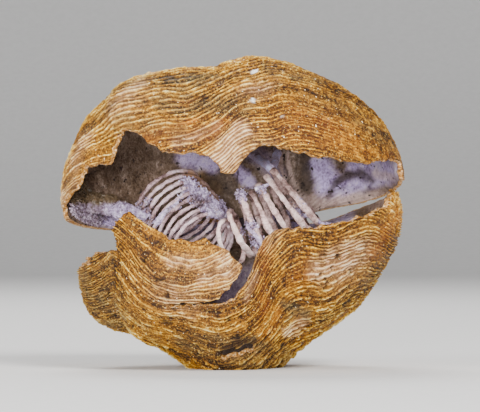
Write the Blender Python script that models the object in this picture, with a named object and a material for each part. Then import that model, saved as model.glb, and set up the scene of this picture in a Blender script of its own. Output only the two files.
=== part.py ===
"""A brachiopod fossil: two gaping, growth-ridged valves with the coiled arm supports still between them.

Lengths are in millimetres until the meshes are made. +X is the fossil's right as seen from its front, -Y is its
front, and +Z is up. The origin is on the surface that the fossil rests on, under the middle of its resting spot.
"""

import math

import bmesh
import bpy
import numpy as np

MM = 0.001

# Overall form of each valve. It grows from its beak at the hinge, so its form is one margin curve that is scaled
# up and swung round the hinge line as it grows.
UPPER = {
    "side": 1,  # 1 arches upwards, -1 downwards
    "hinge": (-1.4, 12.0, 15.0),  # middle of the hinge line
    "yaw": 12.0,  # degrees that the front is turned towards +X
    "roll": 5.5,  # degrees that the right end of the hinge line is raised
    "gape": 13.2,  # degrees that the front margin is raised above the hinge line
    "left": 18.3,  # half widths
    "right": 16.9,
    "length": 26.5,  # hinge line to front margin
    "widest": 12.3,  # how far in front of the hinge line it is widest
    "overhang": 0.02,  # share of the length by which the arch's middle stands off the hinge plane, doubled
    "depth": 1.05,  # stretch of the arch away from the hinge plane
    "beak": (0.0, 0.0),  # the beak, behind and off the hinge line
    "folds": ((2.3, 5.0, 21.0, 12.0), (-3.0, -34.0, 22.0, 0.0), (-0.6, 52.0, 22.0, 0.0)),
    "fold_start": 0.25,  # growth stage at which the folds begin
    "crease": (0.9, -58.0, 9.0),
    "outline": (
        (-40, 1.0), (0, 1.0), (20, 1.01), (50, 1.0), (65, 0.98), (85, 0.98), (100, 0.97), (110, 1.03),
        (122, 1.1), (138, 1.145), (152, 1.08), (165, 1.05), (185, 1.03), (210, 1.0),
    ),
    # How far the shell grows at each azimuth, as a growth stage. Where it is broken, it runs on past the break.
    "margin": (
        (-150, 1.0), (-100, 1.0), (-70, 1.03), (-30, 1.06), (30, 1.06), (60, 1.03), (85, 1.015), (100, 1.033),
        (115, 1.045), (130, 1.035), (142, 1.0), (150, 1.0),
    ),
}
LOWER = {
    "side": -1,
    "hinge": (-1.4, 12.2, 13.85),
    "yaw": 12.0,
    "roll": 6.5,
    "gape": 1.0,
    "left": 16.6,
    "right": 16.6,
    "length": 26.5,
    "widest": 12.3,
    "overhang": 0.1,
    "depth": 0.95,
    "beak": (-3.4, -1.6),
    "folds": ((4.0, 5.0, 15.0, 0.0), (4.4, 37.0, 25.0, 0.0), (-2.6, -25.0, 21.0, 0.0), (3.4, -64.0, 15.0, 0.0)),
    "fold_start": -0.1,
    "crease": (1.1, -72.0, 9.0),
    "outline": (
        (-190, 1.08), (-160, 1.08), (-148, 1.12), (-130, 1.09), (-118, 0.99), (-108, 0.97), (-95, 1.01),
        (-75, 1.055), (-60, 0.98), (-40, 0.96), (-20, 0.925), (-10, 0.95), (5, 1.0), (30, 1.0),
    ),
    "margin": (
        (-150, 1.0), (-110, 1.0), (-90, 1.04), (-60, 1.12), (-20, 1.14), (40, 1.14), (75, 1.13), (95, 1.12),
        (113, 1.13), (125, 1.115), (136, 1.04), (144, 1.0), (150, 1.0),
    ),
}
FORM_CENTRE = (0.0, 15.5)  # x and z about which the outline factors swell or pinch a valve
HINGE_AREA_GAP = 0.05  # half width of the notch under the lower valve's beak, as a share of the hinge line's
VIEW_DISTANCE = 420.0  # the broken edges are drawn on the plane y = 0, seen from this far in front
VIEW_AXIS = (0.52, 16.8)

SHELL = 0.9  # wall thickness
SHELL_EDGE = 0.5  # wall thickness at a broken edge
THINNING = 2.0  # how far from an edge the wall thins
RESTING_BAND = 0.5  # the valve's lowest part, up to this height, is flattened where the fossil rests
RIDGE_COUNT = 12
RIDGE_HEIGHT = 0.38
RIDGE_BASE = 0.23  # how far the foot of a ridge lies under the form's face
STEEP_SHARE = 0.2  # share of each ridge that its steep, margin-facing step takes
COLUMNS = 33
LEAST_OFFSET = 0.12  # a grid point nearer than this to an edge counts as this far from it, which avoids slivers

# A valve's front wall lies between these azimuths and in front of this y. Its breaks are drawn on the front view.
FRONT_WALL = (-100.0, 80.0)
FRONT_WALL_BACK = 4.0

# The spiral arm supports. Each knot is a turn's number, its centre and its two half axes. A turn starts along
# the first, and passes the second, which points to the front, a quarter of a turn later.
LEFT_COIL = (
    (0.0, (-7.0, 3.0, 17.4), (3.1, 0.0, 2.5), (-1.6, -3.1, 1.9)),
    (5.0, (-4.7, 0.5, 14.8), (3.1, 0.0, 2.4), (-1.5, -3.1, 1.9)),
    (9.0, (-3.2, -1.7, 12.6), (2.5, 0.0, 2.1), (-1.4, -2.7, 1.9)),
)
RIGHT_COIL = (
    (0.0, (-1.0, -4.4, 12.9), (0.2, 0.0, 2.4), (-1.1, -2.9, 0.4)),
    (1.0, (0.4, -3.8, 13.7), (-0.9, 0.0, 2.6), (-0.6, -3.2, -0.1)),
    (2.0, (1.5, -3.4, 15.1), (-1.0, 0.0, 3.0), (-0.15, -3.4, 0.0)),
    (3.0, (2.8, -3.0, 15.1), (-1.1, 0.0, 3.1), (0.0, -3.4, 0.0)),
    (4.0, (3.9, -2.6, 15.9), (-1.5, 0.0, 3.1), (0.0, -3.4, 0.0)),
    (5.0, (5.1, -2.2, 16.8), (-1.9, 0.0, 3.1), (0.0, -3.3, 0.0)),
    (6.0, (6.2, -1.8, 17.4), (-2.3, 0.0, 3.1), (0.0, -3.2, 0.0)),
    (6.7, (6.9, -1.4, 17.7), (-2.3, 0.0, 3.0), (0.0, -3.0, 0.0)),
)
RIBBON_WIDTH = 0.62
RIBBON_THICKNESS = 0.34
POINTS_PER_TURN = 12
# Lumps of crust that have grown on the left coil, as centre and radius
LEFT_COIL_CRUST = (((-4.6, -0.7, 18.7), 0.85), ((-3.5, -1.2, 17.7), 1.0), ((-2.3, -1.4, 16.8), 0.95))

# The struts that carry the coils: two roots on the upper valve's inside join at the coils, and one runs on down
# to the hinge, where it meets the hinge plate.
STRUT = ((1.7, 10.7, 22.5), (2.7, 6.0, 21.6), (3.7, 1.6, 20.8), (5.2, 4.6, 18.7), (6.8, 11.4, 16.3))
STRUT_ROOT = ((4.5, 10.4, 23.3), (4.4, 6.0, 22.1), (3.9, 1.8, 20.7))
STRUT_RADIUS = 0.5
HINGE_PLATE = ((7.0, 11.0, 16.2), (4.0, 10.7, 15.4), (1.0, 10.4, 15.0), (-2.0, 9.9, 14.5), (-6.4, 9.0, 14.0))
HINGE_PLATE_HEIGHT = 1.2
HINGE_PLATE_THICKNESS = 0.5

# The sugary crust that lines the upper valve's left end, as ranges of growth stage and azimuth.
CRUST_STAGES = (0.66, 0.97)
CRUST_AZIMUTHS = (-128.0, -96.0)
CRUST_CLEARANCE = 0.3  # from the valve's inside
CRUST_DEPTH = 0.9
# Each lump is its centre and radius.
CRUST_LUMPS = (((-14.7, 1.8, 17.1), 1.3), ((-13.1, 0.9, 16.9), 1.3), ((-11.8, -0.5, 16.3), 1.1))

# Openings in the front walls, as (x, z) outlines on the plane y = 0.
UPPER_BREAK = (
    (-18.0, 16.8), (-17.4, 17.7), (-17.0, 18.4), (-16.2, 19.2), (-16.0, 20.1), (-15.6, 20.7), (-14.4, 21.3),
    (-13.1, 21.2), (-12.6, 23.5), (-11.9, 24.5), (-11.2, 24.8), (-9.3, 24.0), (-9.3, 23.6), (-7.7, 22.7),
    (-5.3, 22.4), (-4.6, 22.7), (-2.7, 22.0), (-1.6, 21.1), (-1.3, 20.4), (-0.4, 20.3), (0.1, 20.7),
    (0.8, 21.8), (1.6, 22.5), (3.1, 23.2), (4.2, 23.3), (4.8, 22.8), (7.9, 22.2), (8.9, 21.9), (10.0, 22.0),
    (11.4, 21.6), (13.2, 21.3), (15.4, 21.6), (16.7, 21.7), (17.4, 21.3), (17.6, 8.0), (-17.9, 8.0),
)
LOWER_BREAK = (
    (-16.2, 10.3), (-15.5, 10.7), (-15.0, 10.9), (-14.6, 11.9), (-13.2, 12.2), (-12.3, 12.1), (-12.5, 12.9),
    (-12.7, 14.2), (-12.5, 15.3), (-11.0, 16.3), (-10.2, 15.6), (-8.6, 14.6), (-7.3, 13.8), (-6.9, 13.3),
    (-6.2, 13.4), (-4.4, 13.2), (-3.2, 13.3), (-2.3, 12.8), (-0.8, 12.3), (-0.4, 11.6), (0.4, 11.0),
    (0.7, 10.4), (0.4, 9.4), (-0.7, 8.2), (-1.8, 7.0), (-3.0, 6.7), (-5.0, 6.7), (-6.6, 6.4), (-4.9, 6.3),
    (-1.4, 6.4), (0.1, 7.3), (0.9, 8.5), (1.5, 9.4), (1.9, 10.8), (2.3, 11.9), (2.9, 13.1), (3.8, 13.9),
    (5.1, 14.4), (8.3, 14.5), (10.7, 15.0), (12.3, 15.3), (13.5, 15.7), (14.7, 16.2), (15.6, 16.6),
    (16.0, 17.2), (16.4, 18.1), (17.2, 18.4), (17.6, 18.0), (18.0, 17.1), (22.0, 17.0), (22.0, 30.0),
    (-22.0, 30.0), (-22.0, 10.3),
)
LOWER_BACK_BREAK = (
    (-22.0, 10.3), (-16.2, 10.4), (-14.6, 11.9), (-12.4, 12.1), (-10.5, 13.6), (-8.0, 15.5), (-8.0, 30.0),
    (-22.0, 30.0),
)
LOWER_PIT = ((-1.9, 0.9), (-1.1, 1.8), (0.0, 2.1), (1.8, 2.4), (2.1, 1.7), (0.8, 1.2))


def unit(vector):
    return vector / np.linalg.norm(vector, axis=-1, keepdims=True)


def smooth(x, low, high):
    """0 up to low, 1 from high on, and an even slope between."""
    t = np.clip((x - low) / (high - low), 0.0, 1.0)
    return t * t * (3.0 - 2.0 * t)


def hump(x, middle, width):
    return np.exp(-(((x - middle) / width) ** 2))


def through(x, knots):
    """A smooth curve through (x, value) knots."""
    at, value = np.array(knots, float).T
    slope = np.gradient(value, at)
    i = np.clip(np.searchsorted(at, x) - 1, 0, len(at) - 2)
    span = at[i + 1] - at[i]
    t = np.clip((x - at[i]) / span, 0.0, 1.0)
    return (
        value[i] * (1 + 2 * t) * (1 - t) ** 2
        + value[i + 1] * t * t * (3 - 2 * t)
        + span * (slope[i] * t * (1 - t) ** 2 - slope[i + 1] * t * t * (1 - t))
    )


def hinge_frame(form):
    """Unit vectors of a valve: along the hinge line to the right, to the front, and up."""
    yaw, roll = math.radians(form["yaw"]), math.radians(form["roll"])
    across = np.array([math.cos(yaw) * math.cos(roll), math.sin(yaw) * math.cos(roll), math.sin(roll)])
    front = np.array([math.sin(yaw), -math.cos(yaw), 0.0])
    front = unit(front - across * (front @ across))
    return across, front, np.cross(front, across)


def hinge_azimuth(form):
    """Azimuth, in degrees from the front, at which the margin meets the hinge line."""
    return math.degrees(math.acos(-form["widest"] / (form["length"] - form["widest"])))


def valve_point(form, stage, azimuth):
    """The valve's outer face at a growth stage, 0 beak to 1 margin, and an azimuth in degrees from the front."""
    across, front, up = hinge_frame(form)
    side, length, widest = form["side"], form["length"], form["widest"]
    end = hinge_azimuth(form)
    beyond = np.clip((np.abs(azimuth) - end) / 10.0, 0.0, 1.0)  # past the hinge line's ends, on the hinge area
    around = np.radians(np.clip(azimuth, -end, end))
    swing = (math.pi / 2 + math.atan(form["overhang"])) * (1.0 - stage)
    size = np.cos(swing) + form["overhang"] * np.sin(swing)
    half = form["left"] + (form["right"] - form["left"]) * (0.5 + 0.5 * np.sin(around))
    x = size * half * np.sin(around) * (1.0 - beyond * (1.0 - HINGE_AREA_GAP))
    y = size * (widest + (length - widest) * np.cos(around))
    fold = sum(
        height * hump(azimuth, middle + drift * (1.0 - stage), width)
        for height, middle, width, drift in form["folds"]
    )
    z = size * fold * smooth(stage, form["fold_start"], 1.05)
    y, z = (
        y * np.cos(swing) - side * z * np.sin(swing),
        form["depth"] * side * y * np.sin(swing) + z * np.cos(swing),
    )
    y = y + (1.0 - size) * form["beak"][0]
    z = z + (1.0 - size) * form["beak"][1]
    depth, middle, width = form["crease"]
    pull = depth * hump(azimuth, middle, width) * smooth(stage, 0.2, 0.7)
    to_core = np.stack([x, y - 0.45 * length, z - side * 0.2 * length], -1)
    x, y, z = np.moveaxis(np.stack([x, y, z], -1) - unit(to_core) * pull[..., None], -1, 0)
    gape = math.radians(form["gape"])
    y, z = y * math.cos(gape) - z * math.sin(gape), y * math.sin(gape) + z * math.cos(gape)
    point = np.array(form["hinge"]) + x[..., None] * across + y[..., None] * front + z[..., None] * up
    return swell(form, point)


def swell(form, point):
    """Scales x and z about the form's centre by a factor that changes with the direction from it."""
    dx, dz = point[..., 0] - FORM_CENTRE[0], point[..., 2] - FORM_CENTRE[1]
    angle = np.degrees(np.arctan2(dz, dx))
    if form["side"] > 0:
        angle = np.where(angle < -90, angle + 360, angle)
    else:
        angle = np.where(angle > 90, angle - 360, angle)
    factor = through(angle, form["outline"])
    return np.stack([FORM_CENTRE[0] + dx * factor, point[..., 1], FORM_CENTRE[1] + dz * factor], -1)


def front_view(point):
    """Where points are seen on the plane y = 0, from VIEW_DISTANCE in front of it."""
    nearness = VIEW_DISTANCE / (VIEW_DISTANCE + point[..., 1])
    axis = np.array(VIEW_AXIS)
    return axis + (point[..., [0, 2]] - axis) * nearness[..., None]


def outside(point, outline):
    """Signed distance of (x, z) points from an outline, positive outside it."""
    a = np.array(outline)
    b = np.roll(a, -1, axis=0)
    p = point[:, None, :]
    along = ((p - a) * (b - a)).sum(-1) / ((b - a) ** 2).sum(-1)
    nearest = a + np.clip(along, 0.0, 1.0)[..., None] * (b - a)
    gap = np.linalg.norm(p - nearest, axis=-1).min(axis=1)
    spans = (a[:, 1] > p[..., 1]) != (b[:, 1] > p[..., 1])
    rise = np.where(b[:, 1] == a[:, 1], 1.0, b[:, 1] - a[:, 1])
    crossing = a[:, 0] + (p[..., 1] - a[:, 1]) / rise * (b[:, 0] - a[:, 0])
    inside = (spans & (p[..., 0] < crossing)).sum(axis=1) % 2 == 1
    return np.where(inside, -gap, gap)


def beyond_front(azimuth, slack=0.0):
    """Degrees by which an azimuth lies past the front wall."""
    return np.maximum(np.maximum(FRONT_WALL[0] - slack - azimuth, azimuth - FRONT_WALL[1]), 0.0)


def to_edge(form, stage, azimuth):
    """About how far, in mm, a spot lies inside a valve's nearest edge or break. Negative is off the valve."""
    point = valve_point(form, stage, azimuth)
    seen, behind = front_view(point), np.maximum(point[..., 1] - FRONT_WALL_BACK, 0.0)
    kept = (through(np.clip(azimuth, -150, 150), form["margin"]) - stage) * form["length"] * 1.5
    if form["side"] > 0:
        return np.minimum(kept, outside(seen, UPPER_BREAK) + 0.5 * beyond_front(azimuth) + behind)
    back = np.maximum(azimuth + 95.0, 0.0)
    for edge in (
        outside(seen, LOWER_BREAK) + 0.5 * beyond_front(azimuth, 5.0) + behind,
        outside(seen, LOWER_PIT) + behind,
        outside(seen, LOWER_BACK_BREAK) + 0.5 * back,
    ):
        kept = np.minimum(kept, edge)
    return kept


def outward(form, stage, azimuth):
    """The outer face's unit normal. Near the beak it turns into the beak's own direction."""
    step = 0.02
    low, high = np.maximum(stage - step, 0.03), np.maximum(stage + step, 0.07)
    grow = valve_point(form, high, azimuth) - valve_point(form, low, azimuth)
    mid = (low + high) / 2
    turn = valve_point(form, mid, azimuth + 1.5) - valve_point(form, mid, azimuth - 1.5)
    normal = -form["side"] * unit(np.cross(turn, grow))
    core = valve_point(form, np.array([0.75]), np.array([0.0])) - valve_point(form, np.zeros(1), np.zeros(1))
    near_beak = 1.0 - smooth(stage, 0.05, 0.3)
    return unit(normal * (1.0 - near_beak)[..., None] - unit(core) * near_beak[..., None])


def ridges(form, stage, azimuth):
    """Height of the growth ridges. Each rises slowly towards the margin and ends in a steep step."""
    phase = (stage * RIDGE_COUNT) % 1.0
    rise = 1.0 - STEEP_SHARE
    saw = np.where(phase < rise, phase / rise, (1.0 - phase) / STEEP_SHARE)
    end = hinge_azimuth(form)
    fade = smooth(stage, 0.1, 0.35) * (1.0 - smooth(np.abs(azimuth), end - 25.0, end - 5.0))
    return (RIDGE_HEIGHT * saw - RIDGE_BASE) * fade


def growth_grid(form):
    """Growth stages and azimuths of a grid over a valve, with its triangles and a fan at the beak."""
    most = max(stage for _, stage in form["margin"])
    steps = int(math.ceil(most * RIDGE_COUNT))
    stages = [
        (ridge + part) / RIDGE_COUNT
        for ridge in range(steps)
        for part in (0.0, 1.0 - STEEP_SHARE)
        if ridge + part > 0.5
    ] + [steps / RIDGE_COUNT]
    end = hinge_azimuth(form)
    azimuths = list(np.linspace(-end, end, COLUMNS))
    if any(form["beak"]):
        azimuths = [-end - 10.0, -end - 5.0, *azimuths, end + 5.0, end + 10.0]
    rows, columns = len(stages), len(azimuths)
    stage, azimuth = (field.ravel() for field in np.meshgrid(stages, azimuths, indexing="ij"))
    stage, azimuth = np.append(stage, 0.0), np.append(azimuth, 0.0)
    beak = rows * columns
    faces = []
    for j in range(columns - 1):
        faces.append((beak, j, j + 1))
        for i in range(rows - 1):
            a, b = i * columns + j, i * columns + j + 1
            c, d = a + columns, b + columns
            faces += [(a, c, d), (a, d, b)] if azimuths[j] < 0 else [(a, c, b), (b, c, d)]
    return stage, azimuth, faces


def clip(form, stage, azimuth, faces):
    """Cuts the grid along the edges and breaks, and keeps its largest piece."""
    inside = to_edge(form, stage, azimuth)
    inside = np.where(inside < 0, np.minimum(inside, -LEAST_OFFSET), np.maximum(inside, LEAST_OFFSET))
    stage, azimuth = list(stage), list(azimuth)
    crossings, kept = {}, []

    def crossing(a, b):
        key = (min(a, b), max(a, b))
        if key not in crossings:
            share = inside[key[0]] / (inside[key[0]] - inside[key[1]])
            crossings[key] = len(stage)
            stage.append(stage[key[0]] + share * (stage[key[1]] - stage[key[0]]))
            azimuth.append(azimuth[key[0]] + share * (azimuth[key[1]] - azimuth[key[0]]))
        return crossings[key]

    for face in faces:
        values = inside[list(face)]
        if (values <= 0).all():
            continue
        outline = []
        for a, b in zip(face, face[1:] + face[:1]):
            if inside[a] > 0:
                outline.append(a)
            if inside[a] * inside[b] < 0:
                outline.append(crossing(a, b))
        kept += [(outline[0], outline[k], outline[k + 1]) for k in range(1, len(outline) - 1)]
    return np.array(stage), np.array(azimuth), largest_piece(kept)


def largest_piece(faces):
    """The faces of the biggest set that hangs together by shared edges."""
    by_edge = {}
    for index, face in enumerate(faces):
        for a, b in zip(face, face[1:] + face[:1]):
            by_edge.setdefault((min(a, b), max(a, b)), []).append(index)
    beside = [[] for _ in faces]
    for pair in by_edge.values():
        for index in pair:
            beside[index] += [other for other in pair if other != index]
    seen, best = set(), []
    for start in range(len(faces)):
        if start in seen:
            continue
        piece, waiting = [], [start]
        seen.add(start)
        while waiting:
            index = waiting.pop()
            piece.append(index)
            fresh = [other for other in beside[index] if other not in seen]
            seen.update(fresh)
            waiting += fresh
        best = max(best, piece, key=len)
    return [faces[index] for index in sorted(best)]


def wall_between(outer, inner, faces):
    """Closes two matching faces, outer and inner, into a solid. Both are arrays of points."""
    used = sorted({vertex for face in faces for vertex in face})
    number = {vertex: index for index, vertex in enumerate(used)}
    outside_faces = [tuple(number[vertex] for vertex in face) for face in faces]
    count = len(used)
    inside_faces = [tuple(vertex + count for vertex in reversed(face)) for face in outside_faces]
    directed = {(a, b) for face in outside_faces for a, b in zip(face, face[1:] + face[:1])}
    rim = []
    for a, b in sorted(directed):
        if (b, a) not in directed:
            rim += [(b, a, a + count), (b, a + count, b + count)]
    points = np.concatenate([outer[used], inner[used]])
    return points, outside_faces + inside_faces + rim


def add_solid(name, points, faces, material):
    mesh = bpy.data.meshes.new(name)
    mesh.from_pydata([tuple(point) for point in np.asarray(points) * MM], [], faces)
    mesh.materials.append(material)
    mesh.validate()
    mesh.update()
    solid = bpy.data.objects.new(name, mesh)
    bpy.context.scene.collection.objects.link(solid)
    return solid


def make_valve(name, form, material):
    stage, azimuth, faces = clip(form, *growth_grid(form))
    surface = valve_point(form, stage, azimuth)
    normal = outward(form, stage, azimuth)
    inside = np.maximum(to_edge(form, stage, azimuth), 0.0)
    thickness = SHELL_EDGE + (SHELL - SHELL_EDGE) * smooth(inside, 0.0, THINNING)
    outer = surface + normal * ridges(form, stage, azimuth)[:, None]
    inner = surface - normal * thickness[:, None]
    outer[:, 2] = np.where(outer[:, 2] < RESTING_BAND, 0.0, outer[:, 2])
    inner[:, 2] = np.maximum(inner[:, 2], RESTING_BAND)
    points, faces = wall_between(outer, inner, faces)
    if form["side"] < 0:
        faces = [tuple(reversed(face)) for face in faces]
    return add_solid(name, points, faces, material)


def tube(path, side, half_width, half_thickness, closed_sides=4):
    """A closed tube along a path. Its width lies along side, given at each point, and its ends are flat."""
    along = unit(np.gradient(path, axis=0))
    across = unit(side - along * (side * along).sum(-1, keepdims=True))
    over = np.cross(along, across)
    turn = (np.arange(closed_sides) + 0.5) * 2.0 * math.pi / closed_sides
    scale = math.sqrt(2.0) if closed_sides == 4 else 1.0
    rings = (
        path[:, None]
        + scale * half_width * np.cos(turn)[None, :, None] * across[:, None]
        + scale * half_thickness * np.sin(turn)[None, :, None] * over[:, None]
    )
    count, faces = len(path), []
    for i in range(count - 1):
        for k in range(closed_sides):
            a, b = i * closed_sides + k, i * closed_sides + (k + 1) % closed_sides
            faces.append((a, b, b + closed_sides, a + closed_sides))
    faces.append(tuple(range(closed_sides - 1, -1, -1)))
    faces.append(tuple(range((count - 1) * closed_sides, count * closed_sides)))
    return rings.reshape(-1, 3), faces


def coil_path(knots):
    """The middle line of a coil, and the direction of its axis at each point of it."""
    turns = knots[-1][0]
    at = np.linspace(0.0, turns, int(turns * POINTS_PER_TURN) + 1)
    centre, first, second = (
        np.stack([through(at, [(knot[0], knot[part][axis]) for knot in knots]) for axis in range(3)], -1)
        for part in (1, 2, 3)
    )
    angle = 2.0 * math.pi * at[:, None]
    path = centre + first * np.cos(angle) + second * np.sin(angle)
    return path, unit(np.cross(first, second))


def make_coil(name, knots, crust, material):
    """A coiled ribbon, with the lumps of crust that have grown on it."""
    path, axis = coil_path(knots)
    points, faces = tube(path, axis, RIBBON_WIDTH / 2, RIBBON_THICKNESS / 2)
    lumps = [
        make_lump(f"{name}_lump_{index}", centre, radius, index + 10, material, 1)
        for index, (centre, radius) in enumerate(crust)
    ]
    return join(add_solid(name, points, faces, material), lumps)


def smooth_path(points, count):
    knots = list(enumerate(points))
    at = np.linspace(0.0, len(points) - 1.0, count)
    return np.stack([through(at, [(index, point[axis]) for index, point in knots]) for axis in range(3)], -1)


def join(solid, others):
    """Fuses solids into the first one. The others stay as hidden helpers."""
    for other in others:
        union = solid.modifiers.new("join", "BOOLEAN")
        union.operation = "UNION"
        union.solver = "EXACT"
        union.object = other
        other.hide_render = True
        other.display_type = "WIRE"
    return solid


def make_support(material):
    """A bent strut, a second root that joins it at its bend, and the hinge plate at its lower end."""
    side = np.array([1.0, 0.0, 0.4])
    made = []
    for name, points in (("crural_support", STRUT), ("strut_root", STRUT_ROOT)):
        path = smooth_path(points, 9)
        rings, faces = tube(path, side + np.zeros_like(path), STRUT_RADIUS, STRUT_RADIUS, 6)
        made.append(add_solid(name, rings, faces, material))
    path = smooth_path(HINGE_PLATE, 7)
    up = np.zeros_like(path) + (0.0, 0.0, 1.0)
    rings, faces = tube(path, up, HINGE_PLATE_HEIGHT / 2, HINGE_PLATE_THICKNESS / 2)
    made.append(add_solid("hinge_plate", rings, faces, material))
    return join(made[0], made[1:])


def make_lump(name, centre, radius, seed, material, detail=2):
    mesh = bpy.data.meshes.new(name)
    shape = bmesh.new()
    bmesh.ops.create_icosphere(shape, subdivisions=detail, radius=1.0)
    shape.to_mesh(mesh)
    shape.free()
    points = np.array([vertex.co for vertex in mesh.vertices])
    points *= radius * np.random.default_rng(seed).uniform(0.85, 1.1, (len(points), 1))
    mesh.vertices.foreach_set("co", ((points + centre) * MM).ravel())
    mesh.materials.append(material)
    lump = bpy.data.objects.new(name, mesh)
    bpy.context.scene.collection.objects.link(lump)
    return lump


def make_crust(material):
    """A lumpy sheet that follows the inside of the upper valve, with lumps that reach over to the left coil."""
    rows, columns = 6, 7
    stage, azimuth = (
        field.ravel()
        for field in np.meshgrid(
            np.linspace(*CRUST_STAGES, rows), np.linspace(*CRUST_AZIMUTHS, columns), indexing="ij"
        )
    )
    surface = valve_point(UPPER, stage, azimuth)
    normal = outward(UPPER, stage, azimuth)
    depth = CRUST_DEPTH * np.random.default_rng(4).uniform(0.6, 1.0, len(stage))
    base = SHELL + CRUST_CLEARANCE
    faces = []
    for i in range(rows - 1):
        for j in range(columns - 1):
            a = i * columns + j
            faces += [(a, a + columns, a + 1), (a + 1, a + columns, a + columns + 1)]
    points, faces = wall_between(surface - normal * base, surface - normal * (base + depth)[:, None], faces)
    sheet = add_solid("mineral_crust", points, faces, material)
    lumps = [
        make_lump(f"crust_lump_{index}", centre, radius, index, material)
        for index, (centre, radius) in enumerate(CRUST_LUMPS)
    ]
    return join(sheet, lumps)


def material(name, colour, roughness):
    made = bpy.data.materials.new(name)
    made.use_nodes = True
    shader = made.node_tree.nodes["Principled BSDF"]
    shader.inputs["Base Color"].default_value = (*colour, 1.0)
    shader.inputs["Roughness"].default_value = roughness
    shader.inputs["Metallic"].default_value = 0.0
    return made


def clear_scene():
    for thing in list(bpy.data.objects):
        bpy.data.objects.remove(thing, do_unlink=True)


def main():
    clear_scene()
    shell = material("golden_shell", (0.52, 0.30, 0.09), 0.7)
    make_valve("upper_valve", UPPER, shell)
    make_valve("lower_valve", LOWER, shell)
    support = material("pale_support", (0.66, 0.55, 0.55), 0.6)
    make_coil("left_spiralium", LEFT_COIL, LEFT_COIL_CRUST, support)
    make_coil("right_spiralium", RIGHT_COIL, (), support)
    make_support(support)
    make_crust(material("mineral_crust", (0.52, 0.48, 0.62), 0.8))


if __name__ == "__main__":
    main()
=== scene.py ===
"""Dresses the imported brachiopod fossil: lamellae, broken edges, ribbons, crust, stains and light.

Lengths are in millimetres until a mesh is made. +X is to the right, -Y to the front and +Z up.
"""

import itertools
import math

import bpy
import numpy as np
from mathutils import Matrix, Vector


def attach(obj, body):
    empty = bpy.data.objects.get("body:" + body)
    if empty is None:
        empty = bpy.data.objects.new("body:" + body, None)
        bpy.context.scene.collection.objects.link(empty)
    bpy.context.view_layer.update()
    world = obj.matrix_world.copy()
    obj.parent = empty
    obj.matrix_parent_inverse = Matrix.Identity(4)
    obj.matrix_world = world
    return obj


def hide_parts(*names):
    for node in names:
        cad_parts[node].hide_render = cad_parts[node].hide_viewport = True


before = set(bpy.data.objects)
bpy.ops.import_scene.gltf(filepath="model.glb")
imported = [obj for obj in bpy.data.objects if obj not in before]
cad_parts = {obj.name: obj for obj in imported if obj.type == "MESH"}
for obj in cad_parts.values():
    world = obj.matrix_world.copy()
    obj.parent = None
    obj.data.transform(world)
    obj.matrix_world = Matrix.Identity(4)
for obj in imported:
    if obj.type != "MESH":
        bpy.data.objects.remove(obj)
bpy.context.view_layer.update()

MM = 0.001

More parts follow.
